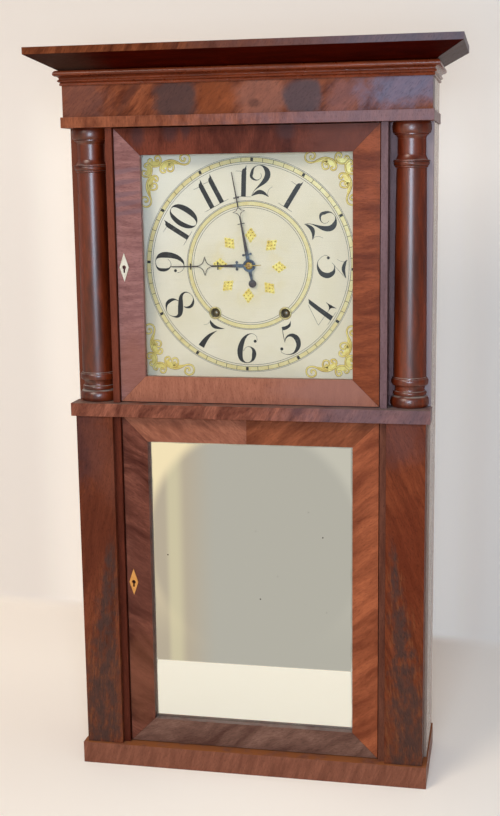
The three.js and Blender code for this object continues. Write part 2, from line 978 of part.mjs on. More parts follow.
// Rails on the backboard, both plates, the pillars between them, the motion stud and the pendulum's cock
function buildPlates() {
  const railShape = outline([
    [-railHalfSpan, railFoot],
    [railHalfSpan, railFoot],
    [railHalfSpan, railTop],
    [-railHalfSpan, railTop],
  ]);
  const inner = railHalfSpan - railWidth;
  railShape.holes.push(
    outline([
      [-inner, railFoot + railWidth],
      [inner, railFoot + railWidth],
      [inner, railTop - railWidth],
      [-inner, railTop - railWidth],
    ]),
  );
  piece("movement_rails", facing(railShape, backboardThickness, backPlateBack), "secondaryWood");

  const plate = (depth0, depth1) => {
    const board = block(
      -movementHalfWidth,
      movementHalfWidth,
      depth0,
      depth1,
      dialCentre - movementFall,
      dialCentre + movementRise,
    );
    return plateBores.reduce(
      (left, [place, radius]) =>
        left.subtract(bar(place.x, place.z, radius + pivotHole, depth0 - cut, depth1 + cut)),
      board,
    );
  };
  const pillarZ = [dialCentre + movementRise - pillarInset, dialCentre - movementFall + pillarInset];
  const pillars = [-1, 1].flatMap((sign) => [
    bar(sign * pillarUpperX, pillarZ[0], pillarRadius, backPlateBack + pivotEnd, frontPlateBack),
    bar(sign * pillarLowerX, pillarZ[1], pillarRadius, backPlateBack + pivotEnd, frontPlateBack),
  ]);
  piece("back_plate", joined(plate(backPlateBack, backPlateFront), ...pillars), "movementWood");

  const motionStud = bar(
    motion.x,
    motion.z,
    studRadius,
    frontPlateBack + pivotEnd,
    frontPlateFront + motionPinionLayer + 2 * motionWheelThickness + 2 * pivotEnd + hourPinionGap,
  );
  const cockTop = verge.z + cockRise + cockThickness;
  const cockFront = rodDepth + 2 * rodRadius + crutchGap + cockThickness / 2;
  const arm = block(
    verge.x - cockWidth / 2,
    verge.x + cockWidth / 2,
    frontPlateFront - cut,
    cockFront,
    verge.z + cockRise,
    cockTop,
  );
  const lip = block(
    verge.x - cockWidth / 2,
    verge.x + cockWidth / 2,
    cockFront - cockThickness / 2,
    cockFront,
    verge.z - cockWidth / 2,
    cockTop,
  );
  const stud = bar(verge.x, verge.z, cockStud, rodDepth - 2 * rodRadius + crutchGap, cockFront - cut / 2);
  const front = joined(plate(frontPlateBack, frontPlateFront), motionStud, arm, lip, stud);
  piece("front_plate", front, "movementWood");
}

function arbor(place, radius, from = arborBack, to = arborFront) {
  return bar(place.x, place.z, radius, from, to);
}

// Great wheels run on the drums' arbors, and the drum is wound against its wheel
function buildDrum(name, place, greatName, greatLayer, teeth, module) {
  const start = layer(drumSetback);
  const end = start + drumLength;
  const profile = [
    [0, arborBack],
    [heavyArbor, arborBack],
    [heavyArbor, start - drumFlangeThickness],
    [drumFlange, start - drumFlangeThickness],
    [drumFlange, start],
    [drumRadius, start],
    [drumRadius, end - drumFlangeThickness],
    [drumFlange, end - drumFlangeThickness],
    [drumFlange, end],
    [heavyArbor, end],
    [heavyArbor, arborFront],
    [heavyArbor - pivotHole, arborFront],
    [heavyArbor - pivotHole, dialFront - dialThickness - pivotEnd],
    [0, dialFront - dialThickness - pivotEnd],
  ];
  piece(name, turnedForward(profile, place.x, place.z, 12), "movementWood");
  const back = layer(greatLayer);
  const wheel = toothed(teeth, module, wheelTooth, place, 0, back, back + greatThickness);
  const bore = bar(place.x, place.z, heavyArbor + running, arborBack, arborFront, 12);
  piece(greatName, wheel.subtract(bore), "movementWood");
}

function buildGoingTrain() {
  buildDrum("time_drum", timeGreat, "time_great_wheel", timeGreatLayer, timeGreatTeeth, timeGreatModule);

  const greatBack = layer(timeGreatLayer);
  const minuteBack = layer(minuteLayer);
  const minutePinionFront = frontPlateFront + motionPinionLayer + motionWheelThickness + pivotEnd;
  piece(
    "minute_arbor",
    joined(
      arbor(centre, minuteArborRadius, arborBack, minuteHandFront() + arborTip),
      toothed(
        minutePinionLeaves,
        timeGreatModule,
        leafTooth,
        centre,
        minutePinionTurn,
        greatBack - pinionOverlap,
        greatBack + greatThickness + pinionOverlap,
      ),
      toothed(minuteWheelTeeth, minuteModule, wheelTooth, centre, 0, minuteBack, minuteBack + wheelThickness),
      toothed(
        motionPinionLeaves,
        motionModule,
        leafTooth,
        centre,
        0,
        frontPlateFront + motionPinionLayer - pinionOverlap,
        minutePinionFront,
      ),
    ),
    "movementWood",
  );

  const thirdBack = layer(thirdLayer);
  piece(
    "time_third_wheel",
    joined(
      arbor(third, lightArbor),
      toothed(
        smallPinionLeaves,
        minuteModule,
        leafTooth,
        third,
        third.turn,
        minuteBack - pinionOverlap,
        minuteBack + wheelThickness + pinionOverlap,
      ),
      toothed(thirdWheelTeeth, thirdModule, wheelTooth, third, 0, thirdBack, thirdBack + wheelThickness),
    ),
    "movementWood",
  );

  const escapeBack = layer(escapeLayer);
  const ratchet = [];
  for (let i = 0; i < escapeTeeth; i += 1) {
    const angle = (i * full) / escapeTeeth;
    const back = angle + (full / escapeTeeth) * escapeToothBackShare;
    ratchet.push([escapeRadius * Math.cos(angle), escapeRadius * Math.sin(angle)]);
    const inner = escapeRadius - escapeToothDepth;
    ratchet.push([inner * Math.cos(back), inner * Math.sin(back)]);
  }
  piece(
    "escape_wheel",
    joined(
      arbor(escape, lightArbor),
      toothed(
        smallPinionLeaves,
        thirdModule,
        leafTooth,
        escape,
        escape.turn,
        thirdBack - pinionOverlap,
        thirdBack + wheelThickness + pinionOverlap,
      ),
      facing(outline(moved(ratchet, escape)), escapeBack, escapeBack + escapeThickness),
    ),
    "brass",
  );
}

// The verge is a bent strip over the escape wheel, and its arbor carries the crutch that moves the rod
function buildVerge() {
  const strip = new THREE.Shape();
  const half = THREE.MathUtils.degToRad(palletHalfDegrees);
  const tip = THREE.MathUtils.degToRad(palletWidthDegrees);
  const up = Math.PI / 2;
  strip.absarc(0, 0, vergeBandOuter, up - half, up + half, false);
  strip.absarc(0, 0, palletInner, up + half, up + half - tip, true);
  strip.absarc(0, 0, vergeBandInner, up + half - tip, up - half + tip, true);
  strip.absarc(0, 0, palletInner, up - half + tip, up - half, true);
  const bent = outline(moved(strip.getPoints(8).map((p) => [p.x, p.y]), escape));
  const back = layer(vergeLayer);
  const crutchDepth = rodDepth - crutchStandoff - rodRadius;
  const fork = rodRadius + crutchGap + crutchWire / 2;
  const low = verge.z - crutchDrop;
  const prongs = [-1, 1].map((sign) =>
    block(
      verge.x + sign * fork - crutchWire / 2,
      verge.x + sign * fork + crutchWire / 2,
      crutchDepth,
      rodDepth + rodRadius + crutchGap,
      low,
      low + 2 * crutchWire,
    ),
  );
  const cross = block(
    verge.x - fork - crutchWire / 2,
    verge.x + fork + crutchWire / 2,
    crutchDepth - crutchWire / 2,
    crutchDepth + crutchWire / 2,
    low,
    low + 2 * crutchWire,
  );
  piece(
    "verge",
    joined(
      facing(bent, back, back + vergeWidth),
      bar(verge.x, verge.z, vergeHub, back - pinionOverlap, back + vergeWidth),
      arbor(verge, lightArbor, arborBack, crutchDepth + crutchWire / 2),
      wire([verge.x, crutchDepth, verge.z], [verge.x, crutchDepth, low + crutchWire], crutchWire / 2),
      cross,
      ...prongs,
    ),
    "steel",
  );
}

function buildPendulum() {
  const bobZ = verge.z - pendulumLength;
  const ring = bar(verge.x, verge.z, rodRing, rodDepth - rodRadius, rodDepth + rodRadius, 12).subtract(
    bar(verge.x, verge.z, rodRingHole, rodDepth - 2 * rodRadius, rodDepth + 2 * rodRadius, 12),
  );
  const rod = wire(
    [verge.x, rodDepth, verge.z - rodRing + rodRadius / 2],
    [verge.x, rodDepth, bobZ + bobRadius + bobGap],
    rodRadius,
  );
  piece("pendulum_rod", joined(ring, rod), "steel");
  const lens = bobOutlineShares.map(([radius, depth]) => [
    radius * bobRadius,
    rodDepth + depth * bobHalfThickness,
  ]);
  piece("pendulum_bob", turnedForward(lens, verge.x, bobZ, bobSides), "brass");
}

// Motion wheel on its stud, and the hour wheel whose pipe reaches through the dial
const motionBack = frontPlateFront + motionPinionLayer;
const hourBack = motionBack + motionWheelThickness + pivotEnd + hourPinionGap;
const hourHandBack = dialFront + handLift;
function minuteHandFront() {
  return hourHandBack + handThickness + handGap + handThickness;
}

function buildMotionWork() {
  const toMotion = THREE.MathUtils.degToRad(toMotionDegrees);
  const motionTurn = meshedTurn(toMotion, motionPinionLeaves, motionWheelTeeth, 0);
  const wheel = joined(
    toothed(
      motionWheelTeeth,
      motionModule,
      wheelTooth,
      motion,
      motionTurn,
      motionBack,
      motionBack + motionWheelThickness,
    ),
    toothed(
      hourPinionLeaves,
      motionModule,
      leafTooth,
      motion,
      0,
      motionBack,
      hourBack + hourWheelThickness + pivotEnd / 2,
    ),
  );
  const studBore = bar(motion.x, motion.z, studRadius + running, frontPlateFront, dialFront);
  piece("motion_wheel", wheel.subtract(studBore), "movementWood");

  const hourTurn = meshedTurn(0, hourPinionLeaves, hourWheelTeeth, 0);
  const hour = joined(
    toothed(
      hourWheelTeeth,
      motionModule,
      wheelTooth,
      centre,
      hourTurn,
      hourBack,
      hourBack + hourWheelThickness,
    ),
    bar(centre.x, centre.z, hourPipeOuter, hourBack, hourHandBack + handThickness + handGap / 2, 12),
  );
  const pipeBore = bar(centre.x, centre.z, hourPipeInner, frontPlateFront, minuteHandFront(), 12);
  piece("hour_wheel", hour.subtract(pipeBore), "movementWood");
}

// A hand lies along +X from the centre. Places along it and half widths are shares of its length.
function handParts(length, design, boss, depth0, depth1) {
  const at = ([along, half]) => [along * length, half * length];
  const blade = design.bladeShares.map(at);
  const [inner, outer, half, line] = design.diamondShares.map((share) => share * length);
  const window = facing(outline(diamondPoints(inner, outer, half, line)), depth0 - cut, depth1 + cut);
  const shaft = facing(outline([...blade, ...blade.map(([x, y]) => [x, -y]).reverse()]), depth0, depth1);
  const frame = facing(outline(diamondPoints(inner, outer, half, 0)), depth0, depth1);
  const parts = [joined(shaft, frame).subtract(window)];
  design.crossbarShares.forEach(([along, reach, thick, lobe]) => {
    const [x, h, t] = [along * length, (reach - lobe) * length, (thick * length) / 2];
    [-h, h].forEach((y) => parts.push(facing(circle(lobe * length, x, y), depth0, depth1)));
    parts.push(
      facing(
        outline([
          [x - t, -h],
          [x + t, -h],
          [x + t, h],
          [x - t, h],
        ]),
        depth0,
        depth1,
      ),
    );
  });
  parts.push(facing(circle(boss), depth0, depth1));
  if (design.discShares) {
    const [along, radius] = design.discShares.map((share) => share * length);
    const tail = design.tailShares.map(at);
    parts.push(facing(outline([...tail, ...tail.map(([x, y]) => [x, -y]).reverse()]), depth0, depth1));
    parts.push(facing(circle(radius, along), depth0, depth1));
  }
  return joined(...parts);
}

function circle(radius, x = 0, y = 0) {
  const round = [];
  for (let i = 0; i < handSides; i += 1) {
    const angle = (i * full) / handSides;
    round.push([x + radius * Math.cos(angle), y + radius * Math.sin(angle)]);
  }
  return outline(round);
}

// A four-pointed diamond with drawn-in sides, made smaller by a line's width
function diamondPoints(inner, outer, half, line) {
  const middle = (inner + outer) / 2;
  const corners = [
    [inner + line, 0],
    [middle, -half + line],
    [outer - line, 0],
    [middle, half - line],
  ];
  const points = [];
  corners.forEach((from, i) => {
    const to = corners[(i + 1) % corners.length];
    points.push(from);
    sideStepShares.forEach((share) => {
      const x = from[0] + (to[0] - from[0]) * share;
      const y = from[1] + (to[1] - from[1]) * share;
      const pull = share * (1 - share) * drawInShare;
      points.push([x + (middle - x) * pull, y - y * pull]);
    });
  });
  return points;
}

function buildHands() {
  const hand = (name, length, design, turn, bore, depth0) => {
    const depth1 = depth0 + handThickness;
    const parts = handParts(length, design, handBoss, depth0, depth1)
      .subtract(bar(0, 0, bore, depth0 - cut, depth1 + cut, 12));
    const data = parts.getMesh();
    const body = new THREE.BufferGeometry();
    body.setAttribute("position", new THREE.BufferAttribute(new Float32Array(data.vertProperties), 3));
    body.setIndex(new THREE.BufferAttribute(new Uint32Array(data.triVerts), 1));
    body.rotateY(-turn);
    body.translate(centre.x, 0, centre.z);
    piece(name, solidOf(body), "steel");
  };
  const minuteTurn = full / 4 - THREE.MathUtils.degToRad(minuteHandDegrees);
  const hourTurn = full / 4 - THREE.MathUtils.degToRad(hourHandDegrees);
  hand("hour_hand", hourHandLength, hourHandDesign, hourTurn, hourPipeOuter + collarGap, hourHandBack);
  hand(
    "minute_hand",
    minuteHandLength,
    minuteHandDesign,
    minuteTurn,
    minuteArborRadius + collarGap,
    minuteHandFront() - handThickness,
  );
}

// Dial board with the holes for the hour pipe and the two winding arbors
function buildDial() {
  const board = block(
    -openingHalfWidth,
    openingHalfWidth,
    dialFront - dialThickness,
    dialFront,
    dialCentre - dialHalfHeight,
    dialCentre + dialHalfHeight,
  );
  const hole = (place, radius) =>
    bar(place.x, place.z, radius, dialFront - dialThickness - cut, dialFront + cut, 16);
  piece(
    "dial_board",
    board
      .subtract(hole(centre, dialCentreHole))
      .subtract(hole(timeGreat, windingHoleRadius))
      .subtract(hole(strikeGreat, windingHoleRadius)),
    "paintedDial",
  );
}

function buildStrikeTrain() {
  buildDrum(
    "strike_drum",
    strikeGreat,
    "strike_great_wheel",
    strikeGreatLayer,
    strikeGreatTeeth,
    strikeGreatModule,
  );

  // Count wheel: one notch after each hour's blows
  const rim = [];
  let blows = 0;
  const notch = full / blowCount / 2;
  for (let hour = 1; hour <= hourCount; hour += 1) {
    blows += hour;
    const angle = (blows / blowCount) * full;
    const low = countRadius - countNotchDepth;
    [
      [countRadius, angle - notch],
      [low, angle - notch / 2],
      [low, angle + notch / 2],
      [countRadius, angle + notch],
    ].forEach(([radius, turn]) => rim.push([radius * Math.cos(turn), radius * Math.sin(turn)]));
    const steps = Math.floor((hour + 1) / 4);
    for (let i = 1; i <= steps; i += 1) {
      const between = angle + (((hour + 1) * i) / (steps + 1) / blowCount) * full;
      if (hour < hourCount) rim.push([countRadius * Math.cos(between), countRadius * Math.sin(between)]);
    }
  }
  const countBack = layer(countLayer);
  const disc = facing(outline(moved(rim, strikeGreat)), countBack, countBack + countThickness);
  const bore = bar(strikeGreat.x, strikeGreat.z, heavyArbor + running, arborBack, arborFront, 12);
  piece("count_wheel", disc.subtract(bore), "brass");

  const pinBack = layer(pinWheelLayer);
  const greatBack = layer(strikeGreatLayer);
  const pins = [];
  for (let i = 0; i < strikePins; i += 1) {
    const angle = (i * full) / strikePins;
    pins.push(
      bar(
        pinWheel.x + strikePinCircle * Math.cos(angle),
        pinWheel.z + strikePinCircle * Math.sin(angle),
        strikePinRadius,
        pinBack - strikePinLength,
        pinBack + wheelThickness / 2,
        5,
      ),
    );
  }
  piece(
    "strike_pin_wheel",
    joined(
      arbor(pinWheel, lightArbor),
      toothed(
        pinWheelPinionLeaves,
        strikeGreatModule,
        leafTooth,
        pinWheel,
        pinWheel.turn,
        greatBack - pinionOverlap,
        greatBack + greatThickness + pinionOverlap,
      ),
      toothed(pinWheelTeeth, pinWheelModule, wheelTooth, pinWheel, 0, pinBack, pinBack + wheelThickness),
      ...pins,
    ),
    "movementWood",
  );

  const thirdBack = layer(thirdLayer);
  piece(
    "strike_third_wheel",
    joined(
      arbor(strikeThird, lightArbor),
      toothed(
        smallPinionLeaves,
        pinWheelModule,
        leafTooth,
        strikeThird,
        strikeThird.turn,
        pinBack - pinionOverlap,
        pinBack + wheelThickness + pinionOverlap,
      ),
      toothed(
        strikeThirdTeeth,
        strikeThirdModule,
        wheelTooth,
        strikeThird,
        0,
        thirdBack,
        thirdBack + wheelThickness,
      ),
    ),
    "movementWood",
  );

  const flyBack = layer(flyStart);
  piece(
    "strike_fly",
    joined(
      arbor(fly, lightArbor),
      toothed(
        smallPinionLeaves,
        strikeThirdModule,
        leafTooth,
        fly,
        fly.turn,
        thirdBack - pinionOverlap,
        thirdBack + wheelThickness + pinionOverlap,
      ),
      block(
        fly.x - flyHalfLength,
        fly.x + flyHalfLength,
        flyBack,
        flyBack + flyLength,
        fly.z - flyHalfThickness,
        fly.z + flyHalfThickness,
      ),
    ),
    "movementWood",
  );
}

// Bell on its post, and the hammer that hangs beside its rim
function buildBellAndHammer() {
  const bellZ = dialCentre - movementFall - bellPlateGap - bellRadius;
  const apex = bellMouth + bellHeight;
  const dome = [];
  const steps = 5;
  for (let i = 0; i <= steps; i += 1) {
    const angle = ((i / steps) * Math.PI) / 2;
    dome.push([bellRadius * Math.cos(angle), bellMouth + bellHeight * Math.sin(angle)]);
  }
  const lining = dome
    .slice()
    .reverse()
    .map(([radius, depth]) => [
      Math.max(0, radius * (1 - bellWall / bellRadius)),
      bellMouth + (depth - bellMouth) * (1 - bellWall / bellHeight),
    ]);
  const cup = turnedForward([...dome, ...lining, dome[0]], bellX, bellZ, bellSides);
  const post = bar(bellX, bellZ, bellPost, backboardThickness, apex + bellPost);
  const nut = bar(bellX, bellZ, bellNut, apex - bellWall / 2, apex + bellPost, 6);
  piece("bell", joined(cup, post, nut), "brass");

  const headX = bellX - bellRadius - hammerGap - hammerHeadRadius;
  const headBack = bellMouth + hammerGap;
  const headDepth = headBack + hammerHeadLength / 2;
  const tail = THREE.MathUtils.degToRad(hammerTailDegrees);
  const tailX = hammer.x + hammerTailLength * Math.cos(tail);
  const tailZ = hammer.z + hammerTailLength * Math.sin(tail);
  const tailDepth = layer(pinWheelLayer) - strikePinLength / 2;
  const arm = [hammer.x, headDepth, hammer.z];
  piece(
    "hammer",
    joined(
      arbor(hammer, lightArbor),
      wire(arm, [headX, headDepth, bellZ], hammerWire),
      bar(headX, bellZ, hammerHeadRadius, headBack, headBack + hammerHeadLength, 12),
      wire([hammer.x, tailDepth, hammer.z], [tailX, tailDepth, tailZ], hammerWire),
    ),
    "steel",
  );
}

// The cord leaves the drum, runs over the pulley and drops to the weight. Its stretches share the steps.
class CordRoute extends THREE.Curve {
  constructor(stretches) {
    super();
    this.stretches = stretches;
  }
  getUtoTmapping(u) {
    return u;
  }
  getPoint(t, target = new THREE.Vector3()) {
    const total = this.stretches.reduce((sum, s) => sum + s.steps, 0);
    let step = t * total;
    let chosen = this.stretches[0];
    for (const stretch of this.stretches) {
      chosen = stretch;
      if (step <= stretch.steps) break;
      if (stretch !== this.stretches.at(-1)) step -= stretch.steps;
    }
    return target.copy(chosen.at(Math.min(1, step / chosen.steps)));
  }
}

function buildWeightSide(name, place, sign) {
  const y = toY(cordDepth);
  const axis = new THREE.Vector3(sign * pulleyX, y, pulleyAxis());
  const half = pulleyThickness / 2;
  const groove = [
    [0, cordDepth - half - axleOverhang - slotClearance],
    [axleRadius, cordDepth - half - axleOverhang - slotClearance],
    [axleRadius, cordDepth - half],
    [pulleyRadius, cordDepth - half],
    [pulleyRadius, cordDepth - half / 2],
    [pulleyRadius - grooveDepth, cordDepth - grooveWidth / 2],
    [pulleyRadius - grooveDepth, cordDepth + grooveWidth / 2],
    [pulleyRadius, cordDepth + half / 2],
    [pulleyRadius, cordDepth + half],
    [axleRadius, cordDepth + half],
    [axleRadius, cordDepth + half + axleOverhang + slotClearance],
    [0, cordDepth + half + axleOverhang + slotClearance],
  ];
  piece(`${name}_pulley`, turnedForward(groove, axis.x, axis.z, pulleySides), "movementWood");

  const hangX = sign * weightX;
  const foot = bottomBoardThickness + weightFloorGap;
  const head = foot + weightLength;
  const weight = turnedUpright(
    [
      [0, foot],
      [weightRadius - weightChamfer, foot],
      [weightRadius, foot + weightChamfer],
      [weightRadius, head - weightChamfer],
      [weightRadius - weightChamfer, head],
      [eyeRadius, head],
      [eyeRadius, head + eyeHeight],
      [0, head + eyeHeight],
    ],
    hangX,
    cordDepth,
    weightSides,
  );
  piece(`${name}_weight`, weight, "castIron");

  // The slanting stretch is the common outer tangent of the drum and the pulley
  const leave = drumRadius + cordRadius + cordEnd;
  const drumCentre = new THREE.Vector3(place.x, y, place.z);
  const [dx, dz] = [(axis.x - place.x) * sign, axis.z - place.z];
  const length = Math.hypot(dx, dz);
  const lean = Math.atan2(dz, dx);
  const turn = lean - Math.acos((leave + cordRide) / length);
  const rim = (centreOf, radius, angle) =>
    new THREE.Vector3(
      centreOf.x + sign * radius * Math.cos(angle),
      y,
      centreOf.z + radius * Math.sin(angle),
    );
  const start = rim(drumCentre, leave, turn);
  const onto = rim(axis, cordRide, turn + Math.PI);
  const end = new THREE.Vector3(hangX, y, head + eyeHeight + cordEnd);
  const down = rim(axis, cordRide, 0);
  const route = new CordRoute([
    { steps: 4, at: (t) => start.clone().lerp(onto, t) },
    { steps: 12, at: (t) => rim(axis, cordRide, (turn + Math.PI) * (1 - t)) },
    { steps: 6, at: (t) => down.clone().lerp(end, t) },
  ]);
  piece(
    `${name}_cord`,
    solidOf(
      new THREE.ExtrudeGeometry(roundSection(), { steps: 22, bevelEnabled: false, extrudePath: route }),
    ),
    "cord",
  );
}

function roundSection() {
  const points = [];
  for (let i = 0; i < pivotSides; i += 1) {
    const angle = (i * full) / pivotSides;
    points.push([cordRadius * Math.cos(angle), cordRadius * Math.sin(angle)]);
  }
  return outline(points);
}

buildCarcass();
buildTopBoard();
buildFront();
buildDoors();
buildDial();
buildPlates();
buildGoingTrain();
buildVerge();
buildPendulum();
buildMotionWork();
buildHands();
buildStrikeTrain();
buildBellAndHammer();
buildWeightSide("time", timeGreat, 1);
buildWeightSide("strike", strikeGreat, -1);

export default clock;
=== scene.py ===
"""Looks of the wooden works shelf clock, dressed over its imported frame.

Lengths are metres unless a docstring says millimetres. +Z is up and the front faces -Y.
"""

from __future__ import annotations

import json
import logging
import math
from collections.abc import Callable, Sequence
from dataclasses import dataclass
from enum import Enum
from itertools import product
from typing import TypeVar

import bmesh
import bpy
import numpy as np
from mathutils import Matrix

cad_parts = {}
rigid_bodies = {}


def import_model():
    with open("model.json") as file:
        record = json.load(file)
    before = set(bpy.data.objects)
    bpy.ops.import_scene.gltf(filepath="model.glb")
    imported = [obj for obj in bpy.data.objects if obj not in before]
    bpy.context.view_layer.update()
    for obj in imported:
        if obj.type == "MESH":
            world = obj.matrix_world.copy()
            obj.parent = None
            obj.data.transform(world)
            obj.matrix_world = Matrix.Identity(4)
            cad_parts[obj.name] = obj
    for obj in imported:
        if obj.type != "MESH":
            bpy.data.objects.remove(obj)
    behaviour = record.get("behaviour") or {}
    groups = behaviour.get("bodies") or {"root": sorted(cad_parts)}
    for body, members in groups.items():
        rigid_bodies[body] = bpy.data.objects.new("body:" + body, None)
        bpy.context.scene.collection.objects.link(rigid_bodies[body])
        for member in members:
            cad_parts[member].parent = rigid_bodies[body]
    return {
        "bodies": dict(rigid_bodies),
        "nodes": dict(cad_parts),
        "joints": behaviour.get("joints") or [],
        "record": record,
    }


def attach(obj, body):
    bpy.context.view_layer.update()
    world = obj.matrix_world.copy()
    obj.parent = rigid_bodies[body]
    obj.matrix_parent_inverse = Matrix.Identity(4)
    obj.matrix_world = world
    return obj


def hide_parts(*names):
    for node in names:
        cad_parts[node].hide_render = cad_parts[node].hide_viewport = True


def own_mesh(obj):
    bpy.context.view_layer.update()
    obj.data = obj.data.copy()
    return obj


Colour = tuple[float, float, float]
Point = tuple[float, float, float]
Material = bpy.types.Material
Number = TypeVar("Number")
Rows = tuple[tuple[float, ...], ...]
MM = 0.001
SAME_PLACE = 1e-7
SAME_CORNER = 2e-6
SAME_PLANE = math.radians(0.5)
SIDES = (("left", -1), ("right", 1))
FRONTWARD = (0, -1, 0)
LOG = logging.getLogger("clock")


def leaning(x: Number, z: Number, degrees: float) -> tuple[Number, Number]:
    """Coordinates turned from +X towards +Z: x cos + z sin, and z cos - x sin."""
    cos, sin = math.cos(math.radians(degrees)), math.sin(math.radians(degrees))
    return x * cos + z * sin, z * cos - x * sin


# Shader maths


def maths(operation: str, first: bool = True) -> Callable[..., Wire]:
    """An operator of Wire that adds a Math node; first is False for a reflected one."""

    def apply(wire: Wire, *others: Wire | float) -> Wire:
        """Adds the node, with the wire before the others or after them."""
        order = (wire, *others) if first else (*others, wire)
        return wire.paint.node("Math", {"operation": operation}, dict(enumerate(order)))

    return apply


class Wire:
    """The output of a shader node, with Python's operators adding Math nodes."""

    def __init__(self, paint: Paint, socket: bpy.types.NodeSocket) -> None:
        """Keeps the paint that the socket belongs to."""
        self.paint = paint
        self.socket = socket

    __add__ = __radd__ = maths("ADD")
    __sub__ = maths("SUBTRACT")
    __rsub__ = maths("SUBTRACT", first=False)
    __mul__ = __rmul__ = maths("MULTIPLY")
    __truediv__ = maths("DIVIDE")
    __pow__ = maths("POWER")
    __abs__ = maths("ABSOLUTE")
    lesser = maths("MINIMUM")
    greater = maths("MAXIMUM")

    def ease(self, low: float, high: float) -> Wire:
        """0 below low, 1 above high, and an S curve between them; high below low turns it round."""
        settings = {"interpolation_type": "SMOOTHSTEP"}
        return self.paint.node("MapRange", settings, {0: self, 1: low, 2: high})

    def other(self, name: int | str) -> Wire:
        """Another output of the same node."""
        return Wire(self.paint, self.socket.node.outputs[name])


class Paint:
    """The node tree of one material or of the world."""

    def __init__(self, title: str, owner: bpy.types.ID | None = None) -> None:
        """Starts an empty tree on a new material, or on the owner that is given."""
        self.owner = owner or bpy.data.materials.new(title)
        self.owner.use_nodes = True
        self.tree = self.owner.node_tree
        self.tree.nodes.clear()

    def node(
        self,
        kind: str,
        settings: dict[str, object] | None = None,
        values: dict[int | str, object] | None = None,
        output: int | str = 0,
    ) -> Wire:
        """Adds any node.

        Args:
            kind: the node's type name after ShaderNode.
            settings: its own settings, set first.
            values: numbers, colours or wires for its input sockets.
            output: which output the wire leaves from.

        Returns:
            The wire of that output.
        """
        made = self.tree.nodes.new("ShaderNode" + kind)
        for name, value in (settings or {}).items():
            setattr(made, name, value)
        for name, value in (values or {}).items():
            socket = made.inputs[name]
            if isinstance(value, Wire):
                self.tree.links.new(value.socket, socket)
            else:
                colour = isinstance(value, tuple) and socket.type == "RGBA"
                socket.default_value = (*value, 1.0) if colour else value
        return Wire(self, made.outputs[output] if len(made.outputs) else None)

    def xyz(self, vector: Wire | None = None) -> tuple[Wire, Wire, Wire]:
        """The three numbers of a vector, or else of the place on the object, in metres."""
        x = self.node("SeparateXYZ", {}, {0: vector or self.node("TexCoord", output="Object")})
        return x, x.other(1), x.other(2)

    def noise(
        self, at: float | tuple[Wire | float, ...], detail: float = 2.0, rough: float = 0.5
    ) -> Wire:
        """Smooth noise about 0.5.

        Args:
            at: waves for each metre of the object, or three numbers as a place in waves.
            detail: finer waves added on top.
            rough: how strong these are.

        Returns:
            The noise.
        """
        values = {"Detail": detail, "Roughness": rough, "Scale": 1.0}
        if isinstance(at, tuple):
            values["Vector"] = self.node("CombineXYZ", {}, dict(enumerate(at)))
        else:
            values |= {"Vector": self.node("TexCoord", output="Object"), "Scale": at}
        return self.node("TexNoise", {}, values)

    def mix(self, share: Wire | float, first: Wire | Colour, second: Wire | Colour) -> Wire:
        """Colour first where share is 0, second where it is 1."""
        return self.node("Mix", {"data_type": "RGBA"}, {0: share, 6: first, 7: second}, 2)

    def scaled(self, colour: Wire, factor: Wire | float) -> Wire:
        """A colour made lighter or darker by a factor."""
        return self.node("VectorMath", {"operation": "SCALE"}, {0: colour, 3: factor})

    def relief(self, height: Wire, depth: float) -> Wire:
        """A normal that follows a height of 0 to 1, depth metres deep."""
        return self.node("Bump", {}, {"Distance": depth, "Height": height})

    def rays(self) -> tuple[Wire, Wire, Wire]:
        """Whether a ray comes from the camera, from a gloss, and through a clear surface."""
        camera = self.node("LightPath", output="Is Camera Ray")
        return camera, camera.other("Is Glossy Ray"), camera.other("Is Transmission Ray")

    def surface(self, **values: object) -> Material:
        """Ends the tree with one shader; values are its sockets, with _ for a space."""
        named = {name.replace("_", " "): value for name, value in values.items()}
        return self.output(self.node("BsdfPrincipled", {}, named))

    def output(self, shader: Wire) -> bpy.types.ID:
        """Joins a shader to the output."""
        world = isinstance(self.owner, bpy.types.World)
        self.node("OutputWorld" if world else "OutputMaterial", {}, {0: shader})
        return self.owner


# Finishes


@dataclass(frozen=True)
class Patch:
    """A figured or stained place on a veneer: a ragged ellipse on the front, in millimetres."""

    x: float
    z: float
    half_x: float
    half_z: float
    colour: Colour
    strength: float
    lean: float
    ragged: float
    soft: float
    power: float = 2.0

    def over(self, paint: Paint, colour: Wire, flow: Wire) -> Wire:
        """Lays the patch over a colour.

        It is whole where (|u / half_x|^p + |v / half_z|^p)^(1/p) + ragged noise is under
        1 - soft / 2, and gone above 1 + soft / 2; a higher power p makes it squarer.

        Args:
            paint: the material.
            colour: the colour under it.
            flow: noise that makes the edge ragged.

        Returns:
            The new colour.
        """
        x, _, z = paint.xyz()
        u, v = leaning(x - self.x * MM, z - self.z * MM, self.lean)
        near_u = abs(u / (self.half_x * MM)) ** self.power
        near_v = abs(v / (self.half_z * MM)) ** self.power
        far = (near_u + near_v) ** (1 / self.power)
        edge = far + (flow - 0.5) * (2 * self.ragged)
        mask = edge.ease(1 + self.soft / 2, 1 - self.soft / 2)
        return paint.mix(mask * self.strength, colour, self.colour)


